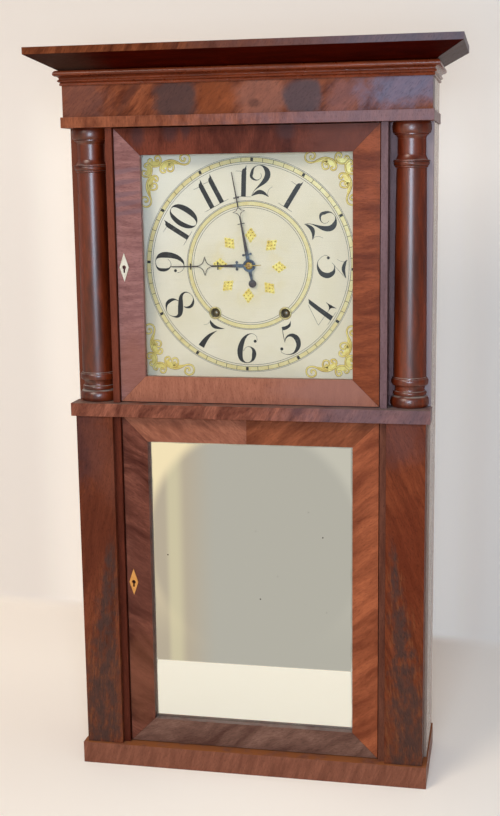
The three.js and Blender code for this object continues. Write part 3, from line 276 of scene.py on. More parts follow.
@dataclass(frozen=True)
class Feather:
    """A dark crotch figure on a stile, with flames that rise from its spine; in millimetres.

    Attributes:
        x: the spine at the top of the figure.
        top: the height where it starts.
        shift: how far the spine moves in x for each millimetre down.
        half: half width at the top.
        widen: how much half the width grows for each millimetre down.
        dark: the colour of the figure.
        flame: the colour of its flames.
    """

    x: float
    top: float
    shift: float
    half: float
    widen: float
    dark: Colour = (0.066, 0.034, 0.028)
    flame: Colour = (0.21, 0.068, 0.026)

    def over(self, paint: Paint, colour: Wire, flow: Wire) -> Wire:
        """Lays the feather over a colour.

        With d the depth below the top, the spine is at x + shift d and half the width is
        half + widen d. Flames are noise of (d + 1.7 |off|, |off|), where off is the distance
        from the spine, so that they lean outward on both sides of it.

        Args:
            paint: the material.
            colour: the colour under it.
            flow: noise that makes the edge ragged.

        Returns:
            The new colour.
        """
        x, _, z = paint.xyz()
        down = self.top * MM - z
        off = abs(x - self.x * MM - down * self.shift)
        wide = down.greater(0.0) * self.widen + self.half * MM
        licks = paint.noise(((down + off * 1.7) * 38, off * 260, self.x), 3.0, 0.6)
        veins = paint.noise(((down + off * 1.2) * 70, off * 620, self.x), 2.0, 0.6)
        mottle = paint.noise((x * 105, self.x, z * 45), 4.0, 0.65)
        edge = off / wide + (flow - 0.5) * 1.9 + (licks - 0.5) * 1.5
        inside = edge.ease(1.3, 0.4) * down.ease(-0.01, 0.03) * mottle.ease(0.3, 0.58)
        figure = paint.mix(veins.ease(0.56, 0.7) * 0.55, self.dark, self.flame)
        around = edge.ease(2.3, 1.2) * licks.ease(0.5, 0.64) * down.ease(0.0, 0.06)
        colour = paint.mix(around * 0.6, colour, self.flame)
        return paint.mix(inside * 0.9, colour, figure)


def laid(paint: Paint, colour: Wire, flow: Wire, patches: Sequence[Patch | Feather]) -> Wire:
    """A colour with patches laid over it in their order."""
    for patch in patches:
        colour = patch.over(paint, colour, flow)
    return colour


@dataclass(frozen=True)
class Veneer:
    """Mahogany veneer.

    Attributes:
        body: colour between the dark and the light of the figure.
        lean: degrees from +X towards +Z that the grain runs on the front.
        stripe: ribbons for each metre across the grain.
        reach: how many times longer than wide a ribbon is.
        bend: how far slow waves push the ribbons aside, in ribbons.
        contrast: how far the figure departs from the body colour.
        seed: a shift of the noise, so that no two members match.
    """

    body: Colour
    lean: float
    stripe: float
    reach: float
    bend: float
    contrast: float = 0.4
    seed: float = 0.0

    def tone(self, share: float) -> Colour:
        """The body colour made lighter by a share, or darker and redder by a negative one."""
        red, green, blue = self.body
        return (red * (1 + share * 0.85), green * (1 + share), blue * (1 + share))

    def figure(self, paint: Paint) -> tuple[Wire, Wire, Wire]:
        """Works out the grain.

        Ribbons are noise of (along * stripe / reach, across * stripe + bend * slow waves),
        streaks are finer noise drawn out along the grain, and pores are short dark dashes.

        Args:
            paint: the material.

        Returns:
            Ribbons, streaks and pores, each from 0 to 1.
        """
        x, y, z = paint.xyz()
        along, across = leaning(x, z, self.lean)
        waves = paint.noise((along * 16 + self.seed, y * 16, across * 16), 1.0)
        moved = across * self.stripe + (waves - 0.5) * (2 * self.bend)
        length = along * (self.stripe / self.reach) + self.seed
        ribbons = paint.noise((length, y * self.stripe, moved), 4.0, 0.62)
        streaks = paint.noise((along * 85, y * 520, across * 520), 3.0, 0.7)
        dashes = paint.noise((along * 260, y * 1150, across * 1150), 1.0)
        return ribbons, streaks, dashes.ease(0.56, 0.68)

    def colour(self, paint: Paint, patches: Sequence[Patch | Feather] = ()) -> tuple[Wire, Wire]:
        """Colours the grain.

        Args:
            paint: the material.
            patches: figured places laid under the fine grain.

        Returns:
            The colour, and the wood as a height with its pores at 0.
        """
        ribbons, streaks, pores = self.figure(paint)
        colour = paint.mix(ribbons.ease(0.3, 0.54), self.tone(-self.contrast), self.body)
        light = (ribbons * 0.72 + streaks * 0.28).ease(0.47, 0.66)
        colour = paint.mix(light, colour, self.tone(self.contrast))
        if patches:
            colour = laid(paint, colour, paint.noise(70.0, 3.0, 0.6), patches)
        return paint.scaled(colour, 0.84 + streaks * 0.38 - pores * 0.24), 1 - pores


@dataclass(frozen=True)
class Shellac:
    """How an old polished surface shines, and the dust that lies on its ledges."""

    roughness: float = 0.38
    gloss: float = 0.09
    coat: float = 0.0
    coat_roughness: float = 0.3
    coat_index: float = 1.5
    dust: float = 0.45
    dust_colour: Colour = (0.3, 0.24, 0.2)

    def over(self, paint: Paint, colour: Wire, wood: Wire, kept: Wire | float = 1.0) -> Material:
        """Finishes a wood.

        Args:
            paint: the material.
            colour: the colour of the wood.
            wood: its height from 0 to 1.
            kept: the share of the coat that wear has left.

        Returns:
            The finished material.
        """
        up = paint.xyz(paint.node("NewGeometry", output="Normal"))[2]
        cloud = paint.noise(60.0, 3.0)
        dusty = up.ease(0.55, 0.95) * cloud.ease(0.25, 0.6) * self.dust
        return paint.surface(
            Base_Color=paint.mix(dusty, colour, self.dust_colour),
            Roughness=cloud * 0.14 + (self.roughness - 0.07) + dusty * 0.35,
            Specular_IOR_Level=self.gloss,
            Normal=paint.relief(wood, 0.00004),
            Coat_Weight=kept * self.coat,
            Coat_Roughness=self.coat_roughness,
            Coat_IOR=self.coat_index,
        )


@dataclass(frozen=True)
class BareWood:
    """Unveneered wood, dry or waxed."""

    light: Colour
    dark: Colour
    lean: float = 90.0
    stripe: float = 45.0
    roughness: float = 0.65
    grey: float = 0.25

    def material(self, title: str) -> Material:
        """Plain grain: long ribbons, fine streaks and a greyish film.

        Args:
            title: the material's name.

        Returns:
            The material.
        """
        paint = Paint(title)
        grain = Veneer(self.light, self.lean, self.stripe, 14.0, 0.6)
        ribbons, streaks, pores = grain.figure(paint)
        lines = (ribbons * 0.6 + streaks * 0.4).ease(0.36, 0.64)
        film = paint.noise(14.0, 4.0)
        colour = paint.mix(lines, self.dark, self.light)
        colour = paint.mix(film.ease(0.35, 0.75) * self.grey, colour, (0.3, 0.27, 0.25))
        return paint.surface(
            Base_Color=paint.scaled(colour, 1 - pores * 0.15),
            Roughness=film * 0.2 + (self.roughness - 0.1),
            Normal=paint.relief(streaks, 0.0001),
        )


@dataclass(frozen=True)
class Metal:
    """A worked metal with tarnish in soft clouds."""

    light: Colour
    dark: Colour
    roughness: float = 0.35
    tarnish: float = 0.5
    grain: float = 90.0

    def material(self, title: str) -> Material:
        """Mixes light and dark by clouds, with a fine hammered relief.

        Args:
            title: the material's name.

        Returns:
            The material.
        """
        paint = Paint(title)
        cloud = paint.noise(self.grain, 4.0, 0.6)
        fine = paint.noise(self.grain * 14)
        return paint.surface(
            Base_Color=paint.mix(cloud.ease(0.4, 0.7) * self.tarnish, self.light, self.dark),
            Metallic=1.0,
            Roughness=cloud * 0.25 + fine * 0.1 + (self.roughness - 0.17),
            Normal=paint.relief(fine, 0.00002),
        )


@dataclass(frozen=True)
class Tint:
    """Paint or gilding that shifts between two colours in soft clouds.

    Attributes:
        thin: the colour where the clouds are thin.
        thick: the colour where they are thick.
        grain: clouds for each metre.
        detail: finer clouds on top, and how strong they are.
        turn: the clouds' values where thick starts and where it is whole.
        rough: how much the clouds roughen it, and its roughness without them.
        metal: how metallic it is; gilding also has a relief.
    """

    thin: Colour
    thick: Colour
    grain: float
    detail: tuple[float, float]
    turn: tuple[float, float]
    rough: tuple[float, float]
    metal: float = 0.0

    def material(self, title: str, level: float = 1.0) -> Material:
        """Mixes thin and thick by clouds.

        Args:
            title: the material's name.
            level: how much lighter or darker it is made.

        Returns:
            The material.
        """
        paint = Paint(title)
        cloud = paint.noise(self.grain, *self.detail)
        colour = paint.scaled(paint.mix(cloud.ease(*self.turn), self.thin, self.thick), level)
        relief = {"Normal": paint.relief(cloud, 0.0001)} if self.metal else {}
        rough = cloud * self.rough[0] + self.rough[1]
        return paint.surface(Base_Color=colour, Roughness=rough, Metallic=self.metal, **relief)


# Shapes


@dataclass
class Shape:
    """A closed skin: rows of x, y and z, and the corners of each face."""

    points: np.ndarray
    faces: list[list[int]]


def together(shapes: Sequence[Shape]) -> Shape:
    """Several shapes as one.

    Args:
        shapes: the shapes.

    Returns:
        The one shape.
    """
    starts = np.cumsum([0, *(len(shape.points) for shape in shapes)]).tolist()
    faces = [
        [corner + start for corner in face]
        for shape, start in zip(shapes, starts)
        for face in shape.faces
    ]
    return Shape(np.vstack([shape.points for shape in shapes]), faces)


def skin(grid: np.ndarray, loop: bool = False) -> Shape:
    """Closes a grid of points.

    Point (i, j) is joined to (i + 1, j) and (i, j + 1). Columns wrap round. Rows wrap when
    loop is set, and are closed by a flat cap at each end when it is not.

    Args:
        grid: points as rows, columns and x, y, z.
        loop: whether the last row joins the first.

    Returns:
        The closed shape.
    """
    rows, columns = grid.shape[:2]
    index = np.arange(rows * columns).reshape(rows, columns)
    here, there = (index, np.roll(index, -1, 0)) if loop else (index[:-1], index[1:])
    corners = [here, np.roll(here, -1, 1), np.roll(there, -1, 1), there]
    faces = np.stack(corners, -1).reshape(-1, 4).tolist()
    if not loop:
        faces += [index[0][::-1].tolist(), index[-1].tolist()]
    return Shape(grid.reshape(-1, 3), faces)


def flowing(rows: Sequence[Sequence[float]], steps: int) -> np.ndarray:
    """A smooth curve through rows of numbers, places and widths alike.

    Between rows b and c, with a before and d after them, the value at share t is
    0.5 (2b + (c - a) t + (2a - 5b + 4c - d) t² + (3b - a - 3c + d) t³).

    Args:
        rows: the rows to pass through.
        steps: points made for each row.

    Returns:
        The points of the curve.
    """
    given = np.asarray(rows, float)
    more = np.vstack([2 * given[0] - given[1], given, 2 * given[-1] - given[-2]])
    a, b, c, d = (part[:, None, :] for part in (more[:-3], more[1:-2], more[2:-1], more[3:]))
    t = np.linspace(0, 1, steps, endpoint=False)[None, :, None]
    curve = 2 * b + (c - a) * t + (2 * a - 5 * b + 4 * c - d) * t**2
    curve = 0.5 * (curve + (3 * b - a - 3 * c + d) * t**3)
    return np.vstack([curve.reshape(-1, given.shape[1]), given[-1]])


def turned(
    profile: Sequence[Sequence[float]], centre: Sequence[float], axis: Point, sides: int
) -> Shape:
    """A profile turned about a line.

    Point (i, j) is centre + height_i * axis + radius_i * (cos a_j * e + sin a_j * f), where e
    and f are square to the axis.

    Args:
        profile: rows of radius and height, from one end to the other, in millimetres.
        centre: where height is 0, in millimetres.
        axis: the direction of the line, of length 1.
        sides: points round it.

    Returns:
        The turned shape.
    """
    line = np.asarray(axis, float)
    e = np.cross(line, [0.0, 0.0, 1.0])
    e /= np.linalg.norm(e)
    f = np.cross(line, e)
    rows = np.asarray(profile, float) * MM
    angle = np.linspace(0, 2 * math.pi, sides, endpoint=False)
    ring = np.cos(angle)[:, None] * e + np.sin(angle)[:, None] * f
    grid = rows[:, 0, None, None] * ring + rows[:, 1, None, None] * line
    return skin(grid + np.asarray(centre, float) * MM)


def linked(name: str, data: bpy.types.ID) -> bpy.types.Object:
    """A new object in the scene."""
    item = bpy.data.objects.new(name, data)
    bpy.context.collection.objects.link(item)
    return item


def made(
    name: str, shape: Shape, finish: Material, body: str, slot: str, smooth: float = 35
) -> bpy.types.Object:
    """Puts a shape into the scene as a piece.

    Args:
        name: the piece's name.
        shape: its skin.
        finish: its material.
        body: the body that it rides on.
        slot: the record's material slot.
        smooth: edges bent by more degrees than this stay crisp.

    Returns:
        The piece.
    """
    mesh = bpy.data.meshes.new(name)
    mesh.from_pydata(shape.points.tolist(), [], shape.faces)
    work = bmesh.new()
    work.from_mesh(mesh)
    bmesh.ops.remove_doubles(work, verts=work.verts, dist=SAME_PLACE)
    bmesh.ops.recalc_face_normals(work, faces=work.faces)
    work.to_mesh(mesh)
    work.free()
    return placed(name, mesh, finish, body, slot, smooth)


def placed(
    name: str, mesh: bpy.types.Mesh, finish: Material, body: str, slot: str, smooth: float
) -> bpy.types.Object:
    """Gives a mesh its object, finish and body.

    Args:
        name: the piece's name.
        mesh: its mesh.
        finish: its material.
        body: the body that it rides on.
        slot: the record's material slot; not used.
        smooth: edges bent by more degrees than this stay crisp.

    Returns:
        The piece.
    """
    piece = linked(name, mesh)
    mesh.materials.clear()
    mesh.materials.append(finish)
    mesh.polygons.foreach_set("use_smooth", [True] * len(mesh.polygons))
    mesh.set_sharp_from_angle(angle=math.radians(smooth))
    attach(piece, body)
    return piece


@dataclass
class Clockwork:
    """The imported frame, and the ways to dress its nodes."""

    frame: dict[str, object]

    def __post_init__(self) -> None:
        """Looks up the slot and the body of each node."""
        record = self.frame["record"]
        self.slots = {part["node"]: part["material_slot"] for part in record["subparts"]}
        bodies = record["behaviour"]["bodies"]
        self.bodies = {node: body for body, nodes in bodies.items() for node in nodes}

    def dress(self, finish: Material, *nodes: str) -> None:
        """Gives CAD nodes a material."""
        for node in nodes:
            mesh = self.frame["nodes"][node].data
            mesh.materials.clear()
            mesh.materials.append(finish)

    def ease(self, finish: Material, *nodes: str, width: float = 0.4, smooth: float = 35) -> None:
        """Replaces CAD nodes with copies whose edges are eased and whose curves are smooth.

        Args:
            finish: their material.
            nodes: the nodes to copy.
            width: how wide an eased edge is, in millimetres; 0 leaves the edges.
            smooth: edges bent by more degrees than this are eased and stay crisp.
        """
        for node in nodes:
            work = bmesh.new()
            work.from_mesh(self.frame["nodes"][node].data)
            bmesh.ops.remove_doubles(work, verts=work.verts, dist=SAME_CORNER)
            sides = {"verts": work.verts, "edges": work.edges}
            bmesh.ops.dissolve_limit(work, angle_limit=SAME_PLANE, **sides)
            mesh = bpy.data.meshes.new(f"{node}_eased")
            work.to_mesh(mesh)
            work.free()
            body, slot = self.bodies[node], self.slots[node]
            piece = placed(f"{node}_eased", mesh, finish, body, slot, smooth)
            if width:
                bevel = piece.modifiers.new("eased edges", "BEVEL")
                bevel.width = width * MM
                bevel.segments = 2
                bevel.limit_method = "ANGLE"
                bevel.angle_limit = math.radians(smooth)
                bevel.harden_normals = True
            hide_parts(node)


# The room


@dataclass
class Room:
    """Pale floor and wall, plain studio light, and what the looking-glass sees.

    A lamp is its name, place, power, size and colour, and faces aim.
    """

    wall_distance: float = 0.48
    wall_turn: float = 0.1
    half_width: float = 4.0
    front: float = -4.0
    height: float = 3.5
    sweep: float = 0.02
    table_edge: float = -0.365
    pale: Colour = (0.93, 0.87, 0.8)
    aim: Point = (0.0, 0.0, 0.5)
    lamps: tuple[tuple[str, Point, float, tuple[float, float], Colour], ...] = (
        ("left_box", (-0.95, -1.75, 1.95), 22.5, (0.9, 0.9), (1.0, 0.91, 0.8)),
        ("right_box", (1.9, -1.5, 1.5), 1.8, (0.9, 0.9), (0.95, 0.97, 1.0)),
        ("front_box", (0.225, -1.52, 0.78), 11.5, (0.44, 0.32), (0.62, 0.81, 1.0)),
    )

    def build(self) -> None:
        """Makes the room."""
        self._backdrop()
        self._world()
        for lamp in self.lamps:
            self._lamp(*lamp)

    def _backdrop(self) -> None:
        """Floor and wall as one sheet.

        A profile of (y, z) runs along the floor, round a quarter circle and up the wall, and
        is carried along x; the wall turns away by wall_turn for each metre of x.
        """
        angle = np.linspace(-math.pi / 2, 0, 13)
        bend_y = self.wall_distance - self.sweep + self.sweep * np.cos(angle)
        bend_z = self.sweep + self.sweep * np.sin(angle)
        y = np.concatenate([[self.front], bend_y, [self.wall_distance]])[:, None]
        z = np.concatenate([[0.0], bend_z, [self.height]])[:, None]
        turn = np.full_like(y, self.wall_turn)
        turn[0] = 0.0
        x = np.array([-self.half_width, self.half_width]) * np.ones_like(y)
        grid = np.stack([x, y - turn * x, z * np.ones(2)], -1).reshape(-1, 3)
        index = np.arange(len(grid)).reshape(-1, 2)
        corners = [index[:-1, 0], index[:-1, 1], index[1:, 1], index[1:, 0]]
        mesh = bpy.data.meshes.new("backdrop")
        mesh.from_pydata(grid.tolist(), [], np.stack(corners, -1).tolist())
        mesh.polygons.foreach_set("use_smooth", [True] * len(mesh.polygons))
        mesh.materials.append(self._paper())
        linked("backdrop", mesh)

    def _paper(self) -> Material:
        """Pale paper with painted shade and painted light; a mirror looks through it past the
        table's edge, and a camera from behind.
        """
        paint = Paint("backdrop_paper")
        x, y, z = paint.xyz()
        camera, glossy, clear = paint.rays()
        flat = z.ease(0.015, 0.0)
        tint = paint.mix(flat, self.pale, (0.91, 0.815, 0.705))
        # Painted shade: the paper darkens towards the top and the right.
        away = z.ease(0.75, 1.15) * 0.1 + x.ease(0.05, 0.55) * 0.1
        colour = paint.scaled(tint, 0.97 + paint.noise(1.5) * 0.06 - away)
        # Painted light: a glow for camera, glossy and transmitted rays. It is warm on the left and
        # cool on the right, and brighter beside the case and in the floor's back-left corner. Near
        # the floor, glossy rays see a painted greenish-grey reflection.
        glow = paint.mix(x.ease(0.05, 0.5), (0.095, 0.075, 0.075), (0.085, 0.115, 0.165))
        beside = x.ease(-0.51, -0.42) * x.ease(0.28, 0.2) * z.ease(0.95, 0.75)
        lit_up = paint.mix(x.ease(-0.4, 0.2), (0.245, 0.215, 0.195), (0.21, 0.235, 0.27))
        glow = paint.mix(beside * (1 - glossy) * (1 - flat), glow, lit_up)
        corner = flat * x.ease(-0.1, -0.35) * y.ease(0.0, 0.3) * (1 - glossy)
        glow = paint.mix(corner, glow, (0.2, 0.17, 0.155))
        near = glossy * y.ease(0.0, -0.06) * z.ease(0.02, 0.0)
        glow = paint.mix(near, glow, (0.27, 0.29, 0.24))
        strength = camera.greater(clear).greater(glossy)
        lit = paint.node("BsdfDiffuse", {}, {"Color": colour, "Roughness": 0.5})
        shine = paint.node("Emission", {}, {"Color": glow, "Strength": strength})
        plain = paint.node("AddShader", {}, {0: lit, 1: shine})
        beyond = glossy * y.ease(self.table_edge, self.table_edge - 0.004)
        behind = paint.node("NewGeometry", output="Backfacing") * camera
        gone = paint.node("BsdfTransparent")
        return paint.output(
            paint.node("MixShader", {}, {0: beyond.greater(behind), 1: plain, 2: gone})
        )

    def _world(self) -> None:
        """Plain light all round.

        Rays that light the clock get one even colour. Camera, glossy and transmitted rays see
        the pale background, and glossy rays that look forward see the grey-green room.
        """
        world = bpy.data.worlds.new("room")
        bpy.context.scene.world = world
        paint = Paint("room", world)
        x, y, z = paint.xyz(paint.node("TexCoord", output="Generated"))
        ahead = (0.0 - y).greater(0.05)
        aside, rise = x / ahead, z / ahead
        arch = ((aside + 0.205) / 0.093) ** 2 + ((rise + 0.3) / 0.1) ** 2
        outside = arch.ease(0.85, 1.1) * rise.ease(-0.4, -0.27)
        warm = aside.ease(-0.235, -0.268) * 0.7
        colour = paint.mix(warm, (0.46, 0.445, 0.385), (0.5, 0.41, 0.29))
        strip = aside.ease(-0.282, -0.276) * aside.ease(-0.262, -0.272)
        colour = paint.mix(strip * 0.8, colour, (0.66, 0.6, 0.4))
        beyond = paint.mix(aside.ease(-0.2, -0.26), (0.56, 0.54, 0.46), (0.92, 0.78, 0.5))
        colour = paint.mix(outside, colour, beyond)
        colour = paint.mix(rise.ease(-0.12, -0.17), (0.1, 0.09, 0.085), colour)
        camera, glossy, clear = paint.rays()
        forward = (0.0 - y).ease(-0.1, 0.1) * glossy
        shown = paint.mix(forward, (0.82, 0.75, 0.7), colour)
        seen = camera.greater(glossy).greater(clear)
        light = paint.mix(seen, (0.37, 0.36, 0.35), shown)
        paint.output(paint.node("Background", {}, {"Color": light}))

    def _lamp(
        self, name: str, place: Point, power: float, size: tuple[float, float], colour: Colour
    ) -> None:
        """One oblong lamp that the camera doesn't see.

        Args:
            name: the lamp's name.
            place: where it is.
            power: its power in watts.
            size: its width and height.
            colour: the colour of its light.
        """
        light = bpy.data.lights.new(name, "AREA")
        light.shape = "RECTANGLE"
        light.energy = power
        light.size, light.size_y = size
        light.color = colour
        lamp = linked(name, light)
        lamp.visible_camera = False
        lamp.matrix_world = facing(place, np.subtract(place, self.aim))


def facing(place: Point, back: np.ndarray, roll: float = 0.0) -> Matrix:
    """The placing of a lamp or camera whose back points along a direction.

    Args:
        place: where it is.
        back: the direction behind it.
        roll: degrees that it leans.

    Returns:
        Its matrix.
    """
    back = back / np.linalg.norm(back)
    right = np.cross([0.0, 0.0, 1.0], back)
    right /= np.linalg.norm(right)
    table = np.eye(4)
    table[:3] = np.stack([*leaning(right, np.cross(back, right), roll), back, place], -1)
    return Matrix(table.tolist())


@dataclass
class Viewpoint:
    """The camera, where the photograph was taken from; angles in degrees."""

    place: Point = (0.3051, -1.5039, 0.7362)
    yaw: float = 11.66
    pitch: float = 10.22
    roll: float = -0.773
    lens: float = 55.8

    def build(self) -> None:
        """Makes the camera."""
        data = bpy.data.cameras.new("viewpoint")
        data.lens = self.lens
        camera = linked("viewpoint", data)
        yaw, pitch = math.radians(self.yaw), math.radians(self.pitch)
        back = np.array([math.sin(yaw), -math.cos(yaw), math.tan(pitch)])
        camera.matrix_world = facing(self.place, back, self.roll)
        bpy.context.scene.camera = camera


# The case


@dataclass
class Case:
    """Boards, cornice, frieze, rails, stiles and base."""

    works: Clockwork
    cornice_fascia: float = 0.882
    mid_rail: float = 0.462
    seam: float = 0.0003

    def build(self) -> None:
        """Dresses the case."""
        pine = BareWood((0.4, 0.3, 0.18), (0.24, 0.16, 0.085)).material("pine_board")
        self.works.ease(pine, "backboard", "bottom_board", "top_board", "movement_rails")
        side = BareWood((0.5, 0.37, 0.31), (0.37, 0.26, 0.215), roughness=0.22, grey=0.4)
        self.works.ease(side.material("stained_side"), "left_side_board", "right_side_board")
        self._cornice()
        self._frieze()
        self._rails()
        self._stiles()
        self._channels("left", (0.1, 0.02, 0.01), (0.155, 0.037, 0.02), (0.16, 0.045, 0.024))
        # Painted sheen: on the right, the wood above the rail is tinted purplish-grey, palest and
        # bluish at the outer edge.
        self._channels("right", (0.14, 0.045, 0.026), (0.165, 0.09, 0.095), (0.34, 0.27, 0.29))

    def _veneer(
        self,
        title: str,
        node: str,
        veneer: Veneer,
        patches: Sequence[Patch | Feather] = (),
        shellac: Shellac = Shellac(),
        **edges: float,
    ) -> None:
        """Veneers and polishes one node.

        Args:
            title: the material's name.
            node: the node.
            veneer: its veneer.
            patches: figured places on it.
            shellac: its polish.
            edges: width and smooth for Clockwork.ease.
        """
        paint = Paint(title)
        self.works.ease(shellac.over(paint, *veneer.colour(paint, patches)), node, **edges)

    def _cornice(self) -> None:
        """Cornice with its cross-grained fascia, and the moulding under it. The fascia greys from
        its middle and turns bluish at its right end as painted sheen, and the face that leans down
        under it is painted dark as shade.
        """
        paint = Paint("cornice")
        # Painted sheen: two patches grey the fascia from its middle and turn its right end bluish.
        fascia_sheen = (
            Patch(225, 890, 165, 60, (0.125, 0.12, 0.155), 0.75, 0, 0.5, 1.3),
            Patch(30, 890, 80, 40, (0.135, 0.055, 0.042), 0.6, 0, 0.5, 1.2),
        )
        fascia, wood = Veneer((0.13, 0.034, 0.013), 62.0, 90.0, 5.0, 0.8, 0.6).colour(paint, fascia_sheen)
        # Painted shade: the face that leans down under the fascia gets a body colour far darker
        # than the fascia's. A lighter grey patch at its left end is painted sheen.
        left_end_sheen = (Patch(-215, 858, 45, 30, (0.055, 0.03, 0.02), 0.7, 0, 0.3, 1.4),)
        shaded_slope, _ = Veneer((0.038, 0.002, 0.0003), 0.0, 90.0, 8.0, 0.6).colour(paint, left_end_sheen)
        share = paint.xyz()[2].ease(self.cornice_fascia - self.seam, self.cornice_fascia)
        colour = paint.mix(share, shaded_slope, fascia)
        self.works.ease(Shellac(0.35, 0.02).over(paint, colour, wood), "cornice")
        bed = Veneer((0.16, 0.028, 0.008), 0.0, 120.0, 8.0, 0.6)
        shine = Shellac(0.28, 0.4, dust=0.0)
        self._veneer("bed_moulding", "bed_moulding", bed, (), shine, width=0.15, smooth=50)

    def _frieze(self) -> None:
        """Frieze with two dark squarish patches and a seam, and the band under it; both turn bluish
        towards their right ends as painted sheen.
        """
        veneer = Veneer((0.185, 0.047, 0.018), 47.0, 80.0, 4.0, 1.4, 0.6, 3.0)
        patches = (
            Patch(-192, 832, 30, 30, (0.155, 0.062, 0.048), 0.6, 20, 0.8, 0.9),
            Patch(-136, 832, 5, 24, (0.1, 0.03, 0.018), 0.6, -35, 0.9, 0.9),
            Patch(-31, 829, 22, 25, (0.225, 0.052, 0.013), 0.6, 0, 0.4, 0.6),
            Patch(24, 830, 30, 25, (0.29, 0.115, 0.08), 0.6, 0, 0.5, 0.7),
            Patch(14, 823, 8, 5, (0.11, 0.04, 0.028), 0.75, 0, 0.6, 0.8),
            Patch(-79.5, 829, 24, 20, (0.075, 0.038, 0.034), 0.93, 0, 0.3, 0.5, 3.5),
            Patch(70.5, 828.5, 21.5, 18, (0.085, 0.052, 0.056), 0.93, 0, 0.3, 0.45, 3.5),
            Patch(124, 829, 34, 18, (0.21, 0.09, 0.085), 0.6, 30, 0.8, 0.9),
            # Painted sheen: a bluish patch at the right end.
            Patch(188, 836, 46, 20, (0.14, 0.145, 0.225), 0.72, 10, 0.7, 1.1),
        )
        self._veneer("frieze_veneer", "frieze_board", veneer, patches)
        band = Veneer((0.23, 0.067, 0.031), 90.0, 130.0, 3.0, 0.8, 0.4, 5.0)
        # Painted sheen: a purplish-grey patch over the band's right half.
        purple = (Patch(190, 805, 175, 30, (0.205, 0.135, 0.16), 0.7, 0, 0.5, 1.4),)
        self._veneer("band_veneer", "frieze_band", band, purple)

    def _rails(self) -> None:
        """Middle rail with slanting flames and a painted bluish sheen at its right end, and the
        base.
        """
        rail = Veneer((0.212, 0.067, 0.04), 62.0, 60.0, 3.0, 1.2, 0.65, 7.0)
        # Painted sheen: a bluish-grey patch at the right end.
        sheen_patch = (Patch(165, 462, 100, 40, (0.165, 0.11, 0.13), 0.65, 0, 0.4, 1.3),)
        self._veneer("mid_rail_veneer", "mid_rail", rail, sheen_patch)
        base = Veneer((0.235, 0.083, 0.049), 72.0, 110.0, 6.0, 0.8, 0.25, 9.0)
        ledge = Shellac(dust=0.9, dust_colour=(0.34, 0.11, 0.035))
        self._veneer("base_veneer", "base_moulding", base, (), ledge)

    def _stiles(self) -> None:
        """Lower stiles with their dark feathers."""
        left = Veneer((0.135, 0.032, 0.014), 82.0, 95.0, 9.0, 0.9, 0.4, 11.0)
        patches = (
            Patch(-205, 420, 22, 50, (0.06, 0.028, 0.03), 0.6, 0, 0.9, 0.9),
            Patch(-180, 400, 18, 60, (0.15, 0.045, 0.027), 0.6, 10, 0.9, 0.9),
            Patch(-196, 300, 26, 60, (0.11, 0.024, 0.011), 0.6, 0, 0.8, 1.0),
            Patch(-196, 100, 30, 60, (0.15, 0.05, 0.027), 0.6, 0, 0.8, 1.0),
            Feather(-174, 305, -0.085, 4.0, 0.09),
        )
        self._veneer("left_stile_veneer", "left_stile", left, patches)
        right = Veneer((0.16, 0.034, 0.012), 112.0, 95.0, 9.0, 0.9, 0.4, 13.0)
        patches = (
            Patch(184, 434, 26, 26, (0.12, 0.05, 0.045), 0.6, 0, 0.6, 1.6),
            Patch(196, 290, 30, 70, (0.13, 0.022, 0.0075), 0.65, 0, 0.8, 1.0),
            Patch(196, 70, 30, 60, (0.15, 0.05, 0.027), 0.6, 0, 0.8, 1.0),
            Feather(174, 315, 0.1, 3.0, 0.085),
        )
        self._veneer("right_stile_veneer", "right_stile", right, patches)

    def _channels(self, side: str, below: Colour, above: Colour, outer: Colour) -> None:
        """Column board and channel front of one side.

        Args:
            side: left or right.
            below: the colour below the middle rail.
            above: the colour above it.
            outer: the colour above it on the case's outer edge; on the right side it is a pale
                bluish-grey painted sheen.
        """
        paint = Paint(f"{side}_inner_veneer")
        low, wood = Veneer(below, 90.0, 110.0, 7.0, 0.6, 0.3, 15.0).colour(paint)
        high, _ = Veneer(above, 90.0, 130.0, 7.0, 0.6, 0.2, 17.0).colour(paint)
        x, _, z = paint.xyz()
        high = paint.mix(abs(x).ease(0.195, 0.208) * 0.8, high, outer)
        colour = paint.mix(z.ease(self.mid_rail, self.mid_rail + 0.001), low, high)
        finish = Shellac().over(paint, colour, wood)
        self.works.ease(finish, f"{side}_column_board", f"{side}_channel_partition")


class Swell(Enum):
    """Which way a turned moulding departs from a straight line between its two ends."""

    OUT = 1.0
    NONE = 0.0
    IN = -1.0


@dataclass(frozen=True)
class Turning:
    """One moulding of a column's outline, in millimetres.

    Attributes:
        height: from its foot to its head.
        foot: radius at its foot.
        head: radius at its head.
        swell: which way it departs from straight.
        depth: how far it does.
    """

    height: float
    foot: float
    head: float
    swell: Swell = Swell.NONE
    depth: float = 0.0

    def outline(self, base: float) -> np.ndarray:
        """Points of radius and height.

        The radius at share t is foot + (head - foot) t, plus or minus
        depth * sqrt(1 - (2t - 1)²).

        Args:
            base: the height of its foot.

        Returns:
            Rows of radius and height.
        """
        turn = np.linspace(0, math.pi, 2 if self.swell is Swell.NONE else 11)
        t = (1 - np.cos(turn)) / 2
        straight = self.foot + (self.head - self.foot) * t
        bulge = self.swell.value * self.depth * np.sin(turn)
        return np.stack([straight + bulge, base + self.height * t], -1)


